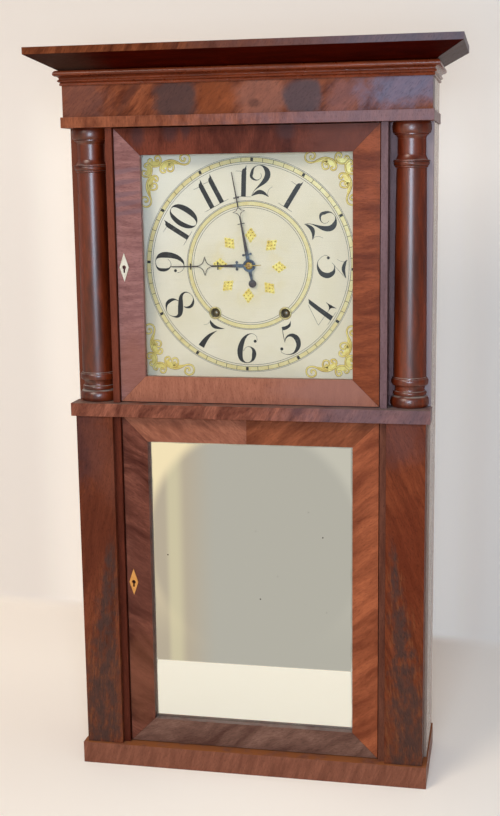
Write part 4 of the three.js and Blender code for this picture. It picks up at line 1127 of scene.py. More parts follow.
@dataclass
class HalfColumns:
    """The two turned half columns, in millimetres."""

    works: Clockwork
    centre: float = 192.1
    plane: float = -21.0
    foot: float = 470.1
    sides: int = 57
    turnings: tuple[Turning, ...] = (
        Turning(13.5, 19.9, 19.4, Swell.OUT, 3.3),
        Turning(0.5, 19.4, 18.1),
        Turning(5.4, 18.1, 18.1, Swell.OUT, 1.7),
        Turning(6.7, 18.1, 18.8, Swell.IN, 0.9),
        Turning(0.4, 18.8, 20.4),
        Turning(7.7, 20.4, 20.6, Swell.OUT, 1.4),
        Turning(1.3, 20.6, 20.4),
        Turning(0.5, 20.4, 19.4),
        Turning(241.1, 19.4, 17.3, Swell.OUT, 0.25),
        Turning(0.4, 17.3, 18.2),
        Turning(2.2, 18.2, 18.4, Swell.OUT, 0.7),
        Turning(4.8, 18.8, 19.4, Swell.OUT, 1.5),
        Turning(1.5, 21.2, 21.0),
        Turning(7.0, 19.6, 16.4, Swell.IN, 0.9),
        Turning(17.0, 16.4, 16.4),
        Turning(4.4, 16.4, 18.9, Swell.IN, 0.6),
        Turning(1.4, 19.7, 19.7),
        Turning(13.4, 20.5, 20.3, Swell.OUT, 2.1),
    )

    def build(self) -> None:
        """Makes both columns: dark polished mahogany, amber where it wears, dusty at the ledges."""
        paint = Paint("column_polish")
        timber = Veneer((0.13, 0.018, 0.004), 90.0, 60.0, 8.0, 0.8, 0.6, 19.0)
        aside = abs(paint.xyz(paint.node("NewGeometry", output="Normal"))[0])
        polish = Shellac(0.42, 0.08, 1.0, 0.35, 1.75, 0.85, (0.38, 0.33, 0.28))
        kept = 1 - aside.ease(0.25, 0.85) * 0.85
        finish = polish.over(paint, *timber.colour(paint), kept)
        for side, sign in SIDES:
            name = f"{side}_half_column"
            piece = made(name, self._shape(sign), finish, "case", "dark_mahogany", 30)
            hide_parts(f"{side}_column")

    def _shape(self, sign: int) -> Shape:
        """Half a turned shape: the outline at angles from 0 to half a turn, flat behind.

        Point (i, j) is (x - r_i cos a_j, plane - r_i sin a_j, z_i).

        Args:
            sign: -1 for the left column and 1 for the right one.

        Returns:
            The column's skin.
        """
        heights = np.cumsum([0.0, *(turning.height for turning in self.turnings)]) + self.foot
        rows = np.vstack([turning.outline(base) for turning, base in zip(self.turnings, heights)])
        angle = np.linspace(0, math.pi, self.sides)
        r = rows[:, 0, None]
        x = sign * self.centre - r * np.cos(angle)
        y = self.plane - r * np.sin(angle)
        return skin(np.stack([x, y, np.broadcast_to(rows[:, 1, None], x.shape)], -1) * MM)


# The doors


@dataclass
class Doors:
    """Two doors with mitred, cross-banded frames."""

    works: Clockwork
    sight_half_width: float = 0.1265
    upper_middle: float = 0.6347
    upper_half_height: float = 0.1321
    lower_middle: float = 0.24085
    lower_half_height: float = 0.18065

    def build(self) -> None:
        """Dresses both doors."""
        self._upper_frame()
        self._lower_frame()
        self.works.dress(self._pane(), "upper_door_glass")
        self.works.dress(self._silvering(), "mirror")
        back = BareWood((0.36, 0.26, 0.15), (0.2, 0.13, 0.07), 0.0).material("mirror_board")
        self.works.ease(back, "mirror_backing")
        bone = BareWood((0.82, 0.77, 0.66), (0.7, 0.63, 0.5), 90.0, 200.0, 0.35, 0.05)
        self.works.ease(bone.material("bone_inlay"), "upper_escutcheon", width=0.1)
        maple = BareWood((0.74, 0.32, 0.075), (0.66, 0.26, 0.055), 90.0, 60.0, 0.35, 0.0)
        self.works.ease(maple.material("maple_inlay"), "lower_escutcheon", width=0.1)
        wire = Metal((0.2, 0.19, 0.18), (0.06, 0.04, 0.03), 0.4).material("hinge_wire")
        pins = product(("upper", "lower"), ("top", "bottom"))
        self.works.dress(wire, *(f"{door}_door_{end}_pin" for door, end in pins))

    def _mitred(
        self, paint: Paint, middle: float, half_height: float, members: Sequence[Wire], wood: Wire
    ) -> Material:
        """Joins four members at 45 degrees, with a dark line along each joint.

        A point belongs to a stile where |x| - half width is above |z - middle| - half height.

        Args:
            paint: the material.
            middle: the height of the opening's middle.
            half_height: half the opening's height.
            members: colours of the left, right, top and bottom member.
            wood: their height from 0 to 1.

        Returns:
            The polished material.
        """
        x, _, z = paint.xyz()
        left, right, top, bottom = members
        lead = (abs(x) - self.sight_half_width) - (abs(z - middle) - half_height)
        stiles = paint.mix(x.ease(-0.001, 0.001), left, right)
        rails = paint.mix((z - middle).ease(-0.001, 0.001), bottom, top)
        colour = paint.mix(lead.ease(-0.0001, 0.0001), rails, stiles)
        joint = abs(lead).ease(0.0005, 0.0001)
        return Shellac().over(paint, paint.scaled(colour, 1 - joint * 0.45), wood)

    def _upper_frame(self) -> None:
        """Left stile rippled purple-brown, top dark with flames, right and bottom orange, with a
        painted sheen on the bottom's right part.
        """
        paint = Paint("upper_door_veneer")
        left, wood = Veneer((0.275, 0.125, 0.115), 0.0, 150.0, 6.0, 1.2, 0.28, 21.0).colour(paint)
        right, _ = Veneer((0.21, 0.048, 0.017), 0.0, 90.0, 5.0, 1.2, 0.42, 23.0).colour(paint)
        top, _ = Veneer((0.105, 0.023, 0.012), 90.0, 34.0, 3.0, 1.0, 0.65, 25.0).colour(paint)
        bottom, _ = Veneer((0.345, 0.125, 0.075), 90.0, 150.0, 4.0, 0.6, 0.16, 27.0).colour(paint)
        x, y, z = paint.xyz()
        flow = paint.noise((x * 28, y * 70, z * 70), 3.0, 0.6)
        ripples = [
            Patch(-143, height, 26, 3.0, (0.17, 0.11, 0.13), 0.5, 8, 0.9, 1.0)
            for height in (749, 736, 722, 711, 700)
        ]
        light = Patch(-142, 515, 22, 40, (0.26, 0.098, 0.066), 0.6, 0, 0.6, 1.2)
        left = laid(paint, left, flow, [*ripples, light])
        warm = Patch(108, 785, 45, 24, (0.16, 0.05, 0.034), 0.6, 0, 0.7, 1.2)
        smudges = [
            Patch(place, height, half, 12, (0.062, 0.026, 0.026), 0.7, 0, 0.6, 1.0)
            for place, height, half in ((-88, 795, 9), (-70, 797, 6), (50, 792, 11), (-128, 789, 8))
        ]
        top = laid(paint, top, flow, [warm, *smudges])
        # Painted sheen: a paler pinkish patch on the bottom rail's right part.
        sheen_patch = Patch(105, 490, 60, 20, (0.32, 0.145, 0.115), 0.7, 0, 0.5, 1.2)
        members = (left, right, top, sheen_patch.over(paint, bottom, flow))
        finish = self._mitred(paint, self.upper_middle, self.upper_half_height, members, wood)
        self.works.ease(finish, "upper_door_frame")

    def _lower_frame(self) -> None:
        """Slanting bands on the stiles, two leaves of veneer on the top rail."""
        paint = Paint("lower_door_veneer")
        left, wood = Veneer((0.148, 0.045, 0.029), -32.0, 42.0, 5.0, 0.9, 0.8, 29.0).colour(paint)
        right, _ = Veneer((0.305, 0.08, 0.033), 38.0, 60.0, 6.0, 0.8, 0.45, 31.0).colour(paint)
        tan, _ = Veneer((0.3, 0.104, 0.06), -42.0, 80.0, 4.0, 0.8, 0.35, 33.0).colour(paint)
        orange, _ = Veneer((0.225, 0.062, 0.026), 42.0, 75.0, 5.0, 0.8, 0.45, 35.0).colour(paint)
        bottom, _ = Veneer((0.175, 0.086, 0.062), 20.0, 55.0, 4.0, 1.2, 0.5, 37.0).colour(paint)
        foot = Patch(-142, 115, 24, 60, (0.19, 0.066, 0.034), 0.55, 0, 0.6, 1.0)
        waist = Patch(-142, 245, 24, 55, (0.095, 0.029, 0.02), 0.6, 0, 0.7, 1.1)
        left = laid(paint, left, paint.noise(70.0, 3.0, 0.6), (foot, waist))
        top = paint.mix(paint.xyz()[0].ease(-0.0026, -0.0023), tan, orange)
        members = (left, right, top, bottom)
        finish = self._mitred(paint, self.lower_middle, self.lower_half_height, members, wood)
        self.works.ease(finish, "lower_door_frame")

    def _pane(self) -> Material:
        """Clear glass with a faint wave in its gloss."""
        paint = Paint("door_glass")
        clear = paint.node("BsdfTransparent", {}, {"Color": (0.985, 0.99, 0.98)})
        wave = paint.relief(paint.noise(12.0, 1.0), 0.0006)
        shine = paint.node("BsdfGlossy", {}, {"Roughness": 0.02, "Normal": wave})
        slant = paint.node("LayerWeight", output="Facing")
        inside = paint.node("NewGeometry", output="Backfacing")
        share = (slant**5 * 0.96 + 0.04) * (1 - inside)
        return paint.output(paint.node("MixShader", {}, {0: share, 1: clear, 2: shine}))

    def _silvering(self) -> Material:
        """Old silvering: clean in the middle, cloudy at the rim, with a few dark specks."""
        paint = Paint("silvered_glass")
        x, _, z = paint.xyz()
        cloud = paint.noise(40.0, 3.0)
        in_x = self.sight_half_width - abs(x)
        in_z = self.lower_half_height - abs(z - self.lower_middle)
        rim = (in_x.lesser(in_z) + (cloud - 0.5) * 0.004).ease(0.004, 0.0005)
        specks = paint.noise(230.0, 0.0).ease(0.86, 0.9)
        colour = paint.mix(rim * 0.6, (0.97, 0.965, 0.95), (0.4, 0.4, 0.36))
        colour = paint.mix(specks, colour, (0.08, 0.08, 0.07))
        rough = rim * 0.25 + specks * 0.3 + 0.015
        return paint.surface(Base_Color=colour, Metallic=1.0, Roughness=rough)


# The dial


class Numeral(Enum):
    """Strokes of each figure, in millimetres from the middle of its place.

    A stroke is rows of (right, up, width); a single row is a ball.
    """

    ZERO = (
        ((0, 18, 0.5), (-4, 16.4, 1.6), (-7, 11.5, 4.4), (-8.8, 4, 5.6), (-8.8, -4, 5.7),
         (-7, -11.5, 4.6), (-4, -16.5, 2), (0, -18.2, 0.5), (4, -16.5, 2.2), (7.2, -11.5, 5),
         (8.8, -4, 6.6), (8.8, 4, 6.6), (7.2, 11.5, 5), (4, 16.4, 2), (0, 18, 0.5)),
    )
    ONE = (
        ((0, -17.8, 5.7), (0, 0, 5.7), (0.2, 11.3, 5.5), (1.6, 14.2, 3), (2.4, 16.8, 1),
         (2.7, 18.9, 0.2)),
        ((-10, 11.9, 0.35), (-2.6, 11.5, 0.4)),
        ((-10.5, -17.7, 0.4), (9, -18, 0.4)),
    )
    TWO = (
        ((2.3, 10.1, 0.3), (3.2, 6.4, 0.4), (1.4, 3.2, 0.5), (-2.3, 1.7, 1.1), (-6.4, 2.9, 2.2),
         (-9, 5.8, 3.3), (-8.4, 9.8, 3.7), (-7.4, 13.6, 2.6), (-5, 17, 1.1), (0, 19, 0.5),
         (4.8, 18, 2), (9, 14, 5.4), (10.7, 9.2, 6.6), (9.4, 4.2, 6.4), (6, -0.4, 5),
         (1.2, -4.8, 2.6), (-3.9, -9.4, 0.9), (-6.9, -13.8, 0.5), (-8.3, -17, 0.3)),
        ((-8.3, -17.2, 0.3), (-4.2, -14.2, 3), (1.5, -12, 5), (7.2, -13.6, 3.4),
         (12.4, -17.5, 0.3)),
        ((12.2, -17, 0.3), (11, -13.8, 0.3), (12.4, -9.2, 0.3), (14.7, -6.9, 0.3),
         (16.7, -5.5, 0.3)),
    )
    THREE = (
        ((-7.4, 18.2, 0.3), (-4.2, 15.8, 2.8), (3, 14, 4.4), (9, 15.4, 2.6), (14.3, 17.5, 0.3)),
        ((-5.2, 14.5, 0.3), (-5.6, 10.1, 0.3), (-7.8, 6, 0.3)),
        ((13.6, 16.6, 0.3), (6, 9, 0.35), (1.4, 4.6, 0.4), (-3.7, 0, 0.35)),
        ((-1, 3, 0.5), (3.7, 3.5, 1.6), (8.6, 1.6, 4.6), (11.8, -4.2, 6.3), (10.2, -11, 5.6),
         (5.4, -15.2, 3.6), (0, -17, 1.4), (-4.8, -16.4, 0.5), (-9.2, -12.9, 0.4),
         (-11.8, -8.3, 0.4), (-11, -5, 0.4)),
        ((-9, -4.4, 3.6),),
    )
    FOUR = (
        ((-4.1, -18, 6), (-3, 0, 5.3), (-2.1, 10, 4.8), (-1.6, 13.4, 4.4), (-0.4, 15.6, 2.2),
         (0.7, 17.8, 0.2)),
        ((-5.6, 14, 0.35), (-19.6, -8.7, 0.35)),
        ((-19.8, -8.7, 0.35), (1.8, -9.9, 0.4)),
        ((8.6, -2, 0.2), (8, -6, 1.6), (7.4, -9.4, 3.6), (8.2, -12.6, 1.8), (9.2, -16.6, 0.2)),
        ((1.6, -9.9, 0.3), (4.4, -9.7, 1.6), (7.6, -9.4, 4.8)),
        ((-13, -18, 0.4), (5, -18.3, 0.4)),
    )
    FIVE = (
        ((-4.6, 14.2, 4.4), (0, 13, 4.1), (4.8, 13.4, 3.4), (7.4, 15.4, 1.6), (9.2, 17.5, 0.2)),
        ((-4.4, 13.6, 0.5), (-7, 6, 0.8), (-9.4, -2.2, 0.5)),
        ((-8.9, -1.2, 0.4), (-5.5, 2.2, 1.5), (-0.9, 3.1, 2.7), (3.6, 0.6, 4.8), (5.9, -5.1, 6.3),
         (4.2, -12, 5.4), (-0.3, -16.2, 4.2), (-4.8, -18.1, 2.4), (-9.2, -18, 1.1),
         (-14.7, -15.6, 0.5), (-18.4, -11, 0.4), (-18.1, -7.8, 0.4)),
        ((-16.4, -7.2, 3.8),),
    )
    SIX = (
        ((5.5, 8.3, 3.8),),
        ((8.1, 9.4, 0.4), (6.9, 14.3, 0.4), (3.2, 17, 0.4), (-0.9, 17, 0.9), (-5.1, 14.7, 2.4),
         (-9.4, 9, 4.8), (-12.3, 0, 6.6), (-12.8, -7.4, 6.4), (-11.3, -13.8, 4.8),
         (-7.8, -17.3, 2.1), (-3.7, -18.3, 0.8), (0.2, -17.2, 1.4), (3.6, -13.2, 3.8),
         (4.6, -7.4, 5.3), (3.8, -2.8, 3.8), (0.9, 0.5, 1.5), (-2.8, 1.4, 0.5), (-6.4, -0.5, 0.4),
         (-8.7, -4.6, 0.4)),
    )
    SEVEN = (
        ((-10.6, 17, 0.3), (-8, 14.8, 3), (-2.5, 13, 4.3), (3.4, 14.4, 2.6), (10.1, 17.5, 0.2)),
        ((3.4, 10.4, 0.3), (0.9, 6.2, 1.8), (-1.8, 0, 3.9), (-3.2, -7.4, 5.7), (-3.5, -13.4, 7),
         (-3.4, -16.6, 7.6)),
        ((-10.1, 14.4, 0.3), (-11, 11, 0.3), (-14.3, 7.8, 0.3)),
    )
    EIGHT = (
        ((1.8, 3.2, 0.6), (4.5, 6, 2), (5.7, 10.1, 3.3), (4.6, 13.9, 3.4), (1.7, 17, 2.3),
         (-1.4, 18.6, 0.7), (-5, 18.8, 0.5), (-9.2, 17.2, 0.6), (-12.3, 13.6, 1.5),
         (-12.2, 9, 2.8), (-9.4, 5.3, 4.6), (-4.6, 2.3, 5.8), (0, -0.4, 6.4), (4.6, -3.2, 6.2),
         (8, -6.2, 4.8), (8.6, -10.4, 3), (6.6, -14, 1.2), (2.8, -17.5, 0.5), (-1.8, -18.8, 0.5),
         (-6.9, -17.2, 1.4), (-11, -13.8, 3.4), (-12.4, -9.2, 4.2), (-11.9, -4.6, 3),
         (-9.7, -1.2, 1.2), (-6.5, 1.2, 0.5)),
    )
    NINE = (
        ((-8.3, -9.7, 0.4), (-7.6, -13, 0.4), (-5.6, -16, 0.4), (-2.4, -18.2, 0.5),
         (1.8, -18.2, 1.1), (5.7, -16.2, 3.1), (9.7, -11, 5), (12, -3.7, 6.4), (12.7, 4.6, 7),
         (11.6, 11.4, 5.6), (8.4, 15.8, 1.8), (4.6, 17.3, 0.6), (0.9, 16.9, 0.7),
         (-2.5, 15.4, 1.7), (-5, 12.4, 3.4), (-5.6, 7.8, 4), (-5, 3.4, 3.2), (-3, -0.2, 1.6),
         (0.5, -2.2, 0.6), (4.6, -1.1, 0.4), (7.6, 2, 0.4)),
        ((-6, -7.8, 3.6),),
    )


@dataclass
class Dial:
    """The painted board: rings, numerals, raised gold and winding grommets, in millimetres.

    Strokes of a scroll are rows of (along, in) from the corner, and its grounds are rows of
    (along, in, width). The figures are the hours whose figures have shifts of their own.
    """

    works: Clockwork
    centre_z: float = 635.5
    front: float = -17.0
    turn: float = 2.0
    numeral_radius: float = 99.0
    figure_shift: float = -3.4
    figures: tuple[tuple[int, tuple[tuple[Numeral, float], ...]], ...] = (
        (1, ((Numeral.ONE, 1.3),)),
        (10, ((Numeral.ONE, -11.6), (Numeral.ZERO, 7.3))),
        (11, ((Numeral.ONE, -6.9), (Numeral.ONE, 6.5))),
        (12, ((Numeral.ONE, -9.1), (Numeral.TWO, 8.9))),
    )
    outer_band: float = 124.5
    inner_band: float = 73.3
    band_width: float = 4.6
    circles: tuple[float, ...] = (127.0, 121.9, 119.7, 68.6)
    parted_circles: tuple[float, ...] = (76.9, 75.7, 70.9)
    line: float = 0.45
    lozenge_radius: float = 36
    lozenge_half: float = 9.0
    lozenge_width: float = 13.0
    bead_out: float = 3.3
    bead_across: float = 2.5
    sunk: float = 0.05
    scroll_strokes: tuple[Rows, ...] = (
        ((26.5, 17.5), (28.8, 18.5), (28.5, 20.5), (26, 21.3), (23.5, 20), (22.6, 17),
         (23.8, 12.5), (27.5, 9), (33, 7), (38, 7), (43, 8.7), (48, 11.3), (53, 12.2),
         (57.5, 10.5), (59.3, 6), (57.5, 1.5), (53, -0.5), (48.5, 1.5), (47.6, 5), (49.5, 8),
         (52.5, 7.8), (53.5, 5.5), (51.8, 4.6)),
        ((33, 9), (38, 11), (39.3, 15), (38, 19), (35, 20), (32, 18.5), (31.8, 15.5),
         (34, 13.5), (36.3, 15)),
        ((12, 8.5), (12.6, 6.5), (10.8, 5), (8.6, 6.3), (7.8, 9), (9.5, 12), (13, 13.8),
         (17.5, 13.9), (21.5, 12.5), (23.8, 9), (23.6, 5), (21.5, 1.8), (18.5, 1.8), (16.6, 4),
         (17.8, 6.8), (20.3, 6.7), (20.6, 4.8)),
    )
    scroll_grounds: tuple[Rows, ...] = (
        ((24, 17, 5), (27, 12.5, 7), (32, 11.5, 7), (37, 14, 5)),
        ((33, 9.5, 5), (38, 9.6, 4), (43, 10.5, 2.5), (50, 12, 1.2)),
        ((9.5, 9, 3), (13, 10.5, 6), (18, 10.5, 6.4), (21.5, 7, 4)),
    )
    scroll_bead: float = 1.5
    scroll_shadow_width: float = 2.3
    corner_x: float = 128.7
    corner_z: float = 132.4
    corner_shift: float = -1.4
    corner_lift: float = -0.5
    grommet_x: float = 43.0
    grommet_drop: float = 57.0
    grommet_clear: float = 6.6
    arbor_end: float = -9.9

    def build(self) -> None:
        """Makes the dial."""
        self.works.dress(self._board(), "dial_board")
        black = ((0.022, 0.02, 0.022), (0.12, 0.11, 0.1))
        self.ink = Tint(*black, 160.0, (4.0, 0.7), (0.55, 0.8), (0.2, 0.35)).material("dial_ink")
        gilt = (120.0, (4.0, 0.6), (0.35, 0.7), (0.25, 0.22), 0.1)
        gold = Tint((0.97, 0.85, 0.3), (0.8, 0.6, 0.15), *gilt)
        self.gold = gold.material("dial_gilding")
        self.ochre = gold.material("dial_ochre", 0.93)
        self.leaf = Tint((0.8, 0.7, 0.38), (0.74, 0.6, 0.28), *gilt).material("dial_leaf")
        brown = ((0.3, 0.15, 0.04), (0.5, 0.32, 0.09))
        umber = Tint(*brown, 300.0, (3.0, 0.6), (0.35, 0.65), (0.2, 0.4))
        self.umber = umber.material("dial_umber")
        self._rings()
        self._numerals()
        self._lozenges()
        self._scrolls()
        self._grommets()

    def _board(self) -> Material:
        """Cream paint, painted paler and bluish-grey towards the top left as painted light, with
        faded ochre ghosts.
        """
        paint = Paint("dial_paint")
        x, y, z = paint.xyz()
        cloud = paint.noise(22.0, 4.0, 0.6)
        grain = paint.noise((x * 30, y, z * 900), 1.0)
        up = z - self.centre_z * MM
        off = (x * x + up * up) ** 0.5 - self.lozenge_radius * MM
        cream = paint.mix(cloud.ease(0.3, 0.7), (0.76, 0.675, 0.51), (0.795, 0.715, 0.575))
        # Painted light: paler bluish-grey towards the top left, where the door frame's shade falls.
        grey = (up * 0.7 - x).ease(0.04, 0.22)
        cream = paint.mix(grey * 0.6, cream, (0.86, 0.86, 0.84))
        ghost = abs(off).ease(0.022, 0.0) * paint.noise(60.0).ease(0.45, 0.65)
        cream = paint.mix(ghost * 0.3, cream, (0.74, 0.6, 0.28))
        cream = paint.scaled(cream, 1.0 - grain.ease(0.5, 0.8) * 0.05)
        return paint.surface(Base_Color=cream, Roughness=cloud * 0.15 + 0.42)

    def _painted(self, name: str, shapes: Sequence[Shape], finish: Material) -> None:
        """Shapes on the dial as one piece."""
        made(name, together(shapes), finish, "case", "painted_dial")

    def _flat(self, right: np.ndarray | float, up: np.ndarray | float) -> np.ndarray:
        """Places on the dial's face in metres, from right of and above its centre."""
        return np.stack([right, np.full_like(right, self.front), up + self.centre_z], -1) * MM

    def _carried(
        self, rows: np.ndarray, section: Sequence[Sequence[float]], least: float, loop: bool = False
    ) -> Shape:
        """A section carried along a path on the dial's face.

        Point (i, j) is path_i + section_j0 * width_i / 2 * side_i + section_j1 * front, where
        side_i is square to the path and to the front.

        Args:
            rows: (right, up, width) along the path.
            section: rows of (share of half the width, height above the face).
            least: the smallest width.
            loop: whether the path closes on itself.

        Returns:
            The shape.
        """
        path = self._flat(rows[:, 0], rows[:, 1])
        widths = np.maximum(rows[:, 2], least) * MM
        section = np.asarray(section, float)
        out = np.asarray(FRONTWARD, float)
        if loop:
            ahead = np.roll(path, -1, 0) - np.roll(path, 1, 0)
        else:
            ahead = np.gradient(path, axis=0)
        side = np.cross(out, ahead)
        side /= np.linalg.norm(side, axis=1, keepdims=True)
        wide = side[:, None, :] * section[None, :, 0, None] * (widths[:, None, None] / 2)
        high = out * section[None, :, 1, None] * MM
        return skin(path[:, None, :] + wide + high, loop)

    def _ribbon(self, rows: np.ndarray, height: float, loop: bool = False) -> Shape:
        """A flat stroke of a height: rows of (right, up, width)."""
        section = [(-1, -self.sunk), (1, -self.sunk), (1, height), (-1, height)]
        return self._carried(rows, section, 0.2, loop)

    def _bead(self, rows: np.ndarray) -> Shape:
        """A raised stroke with a flattened half round section, 0.7 high."""
        angle = np.linspace(0, math.pi, 7)
        arch = np.stack([np.cos(angle), np.sin(angle) * 0.7], -1)
        return self._carried(rows, [*arch, (-1, -self.sunk), (1, -self.sunk)], 0.3)

    def _arc(
        self, radius: float, width: float, height: float, angle: np.ndarray, loop: bool = False
    ) -> Shape:
        """A flat arc at angles clockwise from the top."""
        right, up = radius * np.sin(angle), radius * np.cos(angle)
        return self._ribbon(np.stack([right, up, np.full_like(angle, width)], -1), height, loop)

    def _circle(self, radius: float, width: float, height: float) -> Shape:
        """A flat ring round the dial's centre."""
        angle = np.linspace(0, 2 * math.pi, 160, endpoint=False)
        return self._arc(radius, width, height, angle, loop=True)

    def _parted(self, radius: float, width: float, height: float) -> list[Shape]:
        """A flat ring that stops at the two winding grommets.

        A grommet's middle is at the angle whose tangent is grommet_x / grommet_drop from
        straight down, and hides clear / radius radians on both sides of it.

        Args:
            radius: of the ring.
            width: of its stroke.
            height: above the board.

        Returns:
            Its two arcs.
        """
        down = math.atan2(self.grommet_x, self.grommet_drop)
        hidden = self.grommet_clear / radius
        spans = ((down + hidden, 2 * math.pi - down - hidden), (hidden - down, down - hidden))
        return [
            self._arc(radius, width, height, math.pi + np.linspace(start, end, 140))
            for start, end in spans
        ]

    def _spoke(self, degrees: float, inner: float, outer: float, width: float) -> Shape:
        """A straight mark that points at the centre."""
        ends = leaning(np.zeros(2), np.array([inner, outer]), degrees + self.turn)
        return self._ribbon(np.stack([*ends, (width, width)], -1), 0.09)

    def _rings(self) -> None:
        """Two gold bands, their thin circles, and the marks of minutes and hours."""
        bands = [
            self._circle(self.outer_band, self.band_width, 0.06),
            *self._parted(self.inner_band, self.band_width, 0.06),
        ]
        self._painted("dial_gold_bands", bands, self.leaf)
        lines = [self._circle(128.3, 0.4, 0.08)]
        lines += [self._circle(radius, self.line, 0.08) for radius in self.circles]
        for radius in self.parted_circles:
            lines += self._parted(radius, self.line, 0.08)
        lines += [self._spoke(6 * minute, 122, 127, 0.6) for minute in range(60) if minute % 5]
        lines += [self._spoke(30 * hour, 122.6, 126.6, 3.3) for hour in range(12)]
        self._painted("dial_lines", lines, self.ink)

    def _numerals(self) -> None:
        """Each figure stands with its top outward from 9 to 3, and inward from 4 to 8."""
        apart = dict(self.figures)
        for hour in range(1, 13):
            sign = 1.0 if hour <= 3 or hour >= 9 else -1.0
            alone = ((tuple(Numeral)[hour % 10], sign * self.figure_shift),)
            shapes = [
                self._stroke(np.asarray(stroke, float), shift, hour, sign)
                for numeral, shift in apart.get(hour, alone)
                for stroke in numeral.value
            ]
            self._painted(f"numeral_{hour}", shapes, self.ink)

    def _stroke(self, rows: np.ndarray, shift: float, hour: int, sign: float) -> Shape:
        """Turns one stroke to its place on the dial.

        A point (a, b) of the figure goes to radius R + b along the hour's direction and a
        across it, both with their signs changed where the figure's top is inward.

        Args:
            rows: (right, up, width) in the figure's own frame.
            shift: how far the figure stands right of the hour's line.
            hour: the hour.
            sign: 1 where its top is outward, and -1 where it is inward.

        Returns:
            The stroke's shape.
        """
        ball = len(rows) == 1
        if ball:
            angle = np.linspace(0, 2 * math.pi, 20, endpoint=False)
            reach = rows[0, 2] / 4
            rim = np.stack([np.cos(angle) * reach, np.sin(angle) * reach], -1) + rows[0, :2]
            rows = np.column_stack([rim, np.full(20, reach * 2)])
        elif len(rows) > 2:
            rows = flowing(rows, 8)
        across = sign * (rows[:, 0] + shift)
        out = self.numeral_radius + sign * rows[:, 1]
        right, up = leaning(across, out, 30 * hour + self.turn)
        return self._ribbon(np.column_stack([right, up, rows[:, 2]]), 0.1, loop=ball)

    def _lozenges(self) -> None:
        """Eight lozenges of nine gold beads each, with a brown dot on each bead."""
        dome = [(2.05, 0), (1.75, 0.45), (1.05, 0.8), (0.2, 0.95)]
        tip = [(0.75, 0.85), (0.6, 1.1), (0.1, 1.15)]
        beads, grounds, dots = [], [], []
        i, j = (table.ravel() for table in np.meshgrid((-1, 0, 1), (-1, 0, 1)))
        for number in range(8):
            degrees = 45 * number + self.turn + 1
            reach = np.array([-1.0, 0.0, 1.0]) * self.lozenge_half + self.lozenge_radius
            spine = leaning(np.zeros(3), reach, degrees)
            widths = (0.3, self.lozenge_width, 0.3)
            grounds.append(self._ribbon(np.stack([*spine, widths], -1), 0.06))
            out = self.lozenge_radius + (i + j) * self.bead_out
            for right, up in zip(*leaning((i - j) * self.bead_across, out, degrees)):
                place = (right, self.front, up + self.centre_z)
                beads.append(turned(dome, place, FRONTWARD, 10))
                dots.append(turned(tip, place, FRONTWARD, 8))
        self._painted("dial_lozenges", beads, self.gold)
        self._painted("dial_lozenge_grounds", grounds, self.gold)
        self._painted("dial_lozenge_dots", dots, self.umber)

    def _scrolls(self) -> None:
        """Raised gold scrolls in the four corners, each bead on a wider umber stroke that is its
        painted shadow.

        Each corner has an arm along its upper or lower edge, and the same arm with its two
        coordinates exchanged along the side. A point (u, v) of an arm lies u along the edge
        towards the middle and v into the dial from the corner.
        """
        beads, edges, grounds = [], [], []
        for corner in product((-1, 1), (-1, 1), (False, True)):
            for stroke in self.scroll_strokes:
                rows = self._cornered([(u, v, self.scroll_bead) for u, v in stroke], *corner)
                beads.append(self._bead(rows))
                # Painted shadow: a wider umber stroke under each bead shows as a dark outline round
                # it.
                rows[:, 2] = self.scroll_shadow_width
                edges.append(self._ribbon(rows, 0.1))
            for ground in self.scroll_grounds:
                grounds.append(self._ribbon(self._cornered(ground, *corner), 0.07))
        self._painted("dial_scrolls", beads, self.gold)
        self._painted("dial_scroll_grounds", grounds, self.ochre)
        self._painted("dial_scroll_shadows", edges, self.umber)

    def _cornered(
        self, stroke: Sequence[Sequence[float]], right: int, up: int, upright: bool
    ) -> np.ndarray:
        """Smooths a stroke of an arm and turns it to its corner.

        Args:
            stroke: rows of (u, v, width).
            right: 1 for a right corner and -1 for a left one.
            up: 1 for an upper corner and -1 for a lower one.
            upright: whether the arm runs along the side.

        Returns:
            Rows of (right, up, width) from the dial's centre.
        """
        u, v, width = flowing(stroke, 6).T
        if upright:
            u, v = v - 1.8, u + 2.2
        x = right * (self.corner_x - u) + self.corner_shift
        z = up * (self.corner_z - v) + self.corner_lift
        return np.stack([x, z, width], -1)

    def _grommets(self) -> None:
        """Brass grommets round the winding holes, and the steel ends of the arbors in them."""
        steel = Metal((0.75, 0.74, 0.73), (0.4, 0.37, 0.35)).material("arbor_steel")
        brass = Metal((0.62, 0.52, 0.27), (0.34, 0.25, 0.11), 0.4, 0.6, 200.0)
        finish = brass.material("grommet_brass")
        profile = [
            (5.6, -0.5), (7.6, -0.05), (7.7, 0.3), (7.3, 0.75), (6.5, 0.95), (5.8, 0.8),
            (5.3, 0.3), (5.2, -0.5),
        ]
        tip = [(1.6, 0.0), (1.5, 0.3), (0.9, 0.7), (0.1, 0.8)]
        rows = np.asarray(profile) * MM
        angle = np.linspace(0, 2 * math.pi, 40, endpoint=False)
        ring = np.stack([np.cos(angle), np.zeros(40), np.sin(angle)], -1)
        grid = rows[None, :, 0, None] * ring[:, None, :]
        grid[..., 1] -= rows[None, :, 1]
        for (side, sign), train in zip(SIDES, ("strike", "time")):
            x = sign * self.grommet_x
            shape = skin(grid + self._flat(x, -self.grommet_drop), loop=True)
            made(f"{side}_grommet", shape, finish, "case", "brass", 50)
            place = (x, self.arbor_end, self.centre_z - self.grommet_drop)
            end = turned(tip, place, FRONTWARD, 24)
            made(f"{train}_arbor_end", end, steel, f"{train}_drum", "steel", 50)


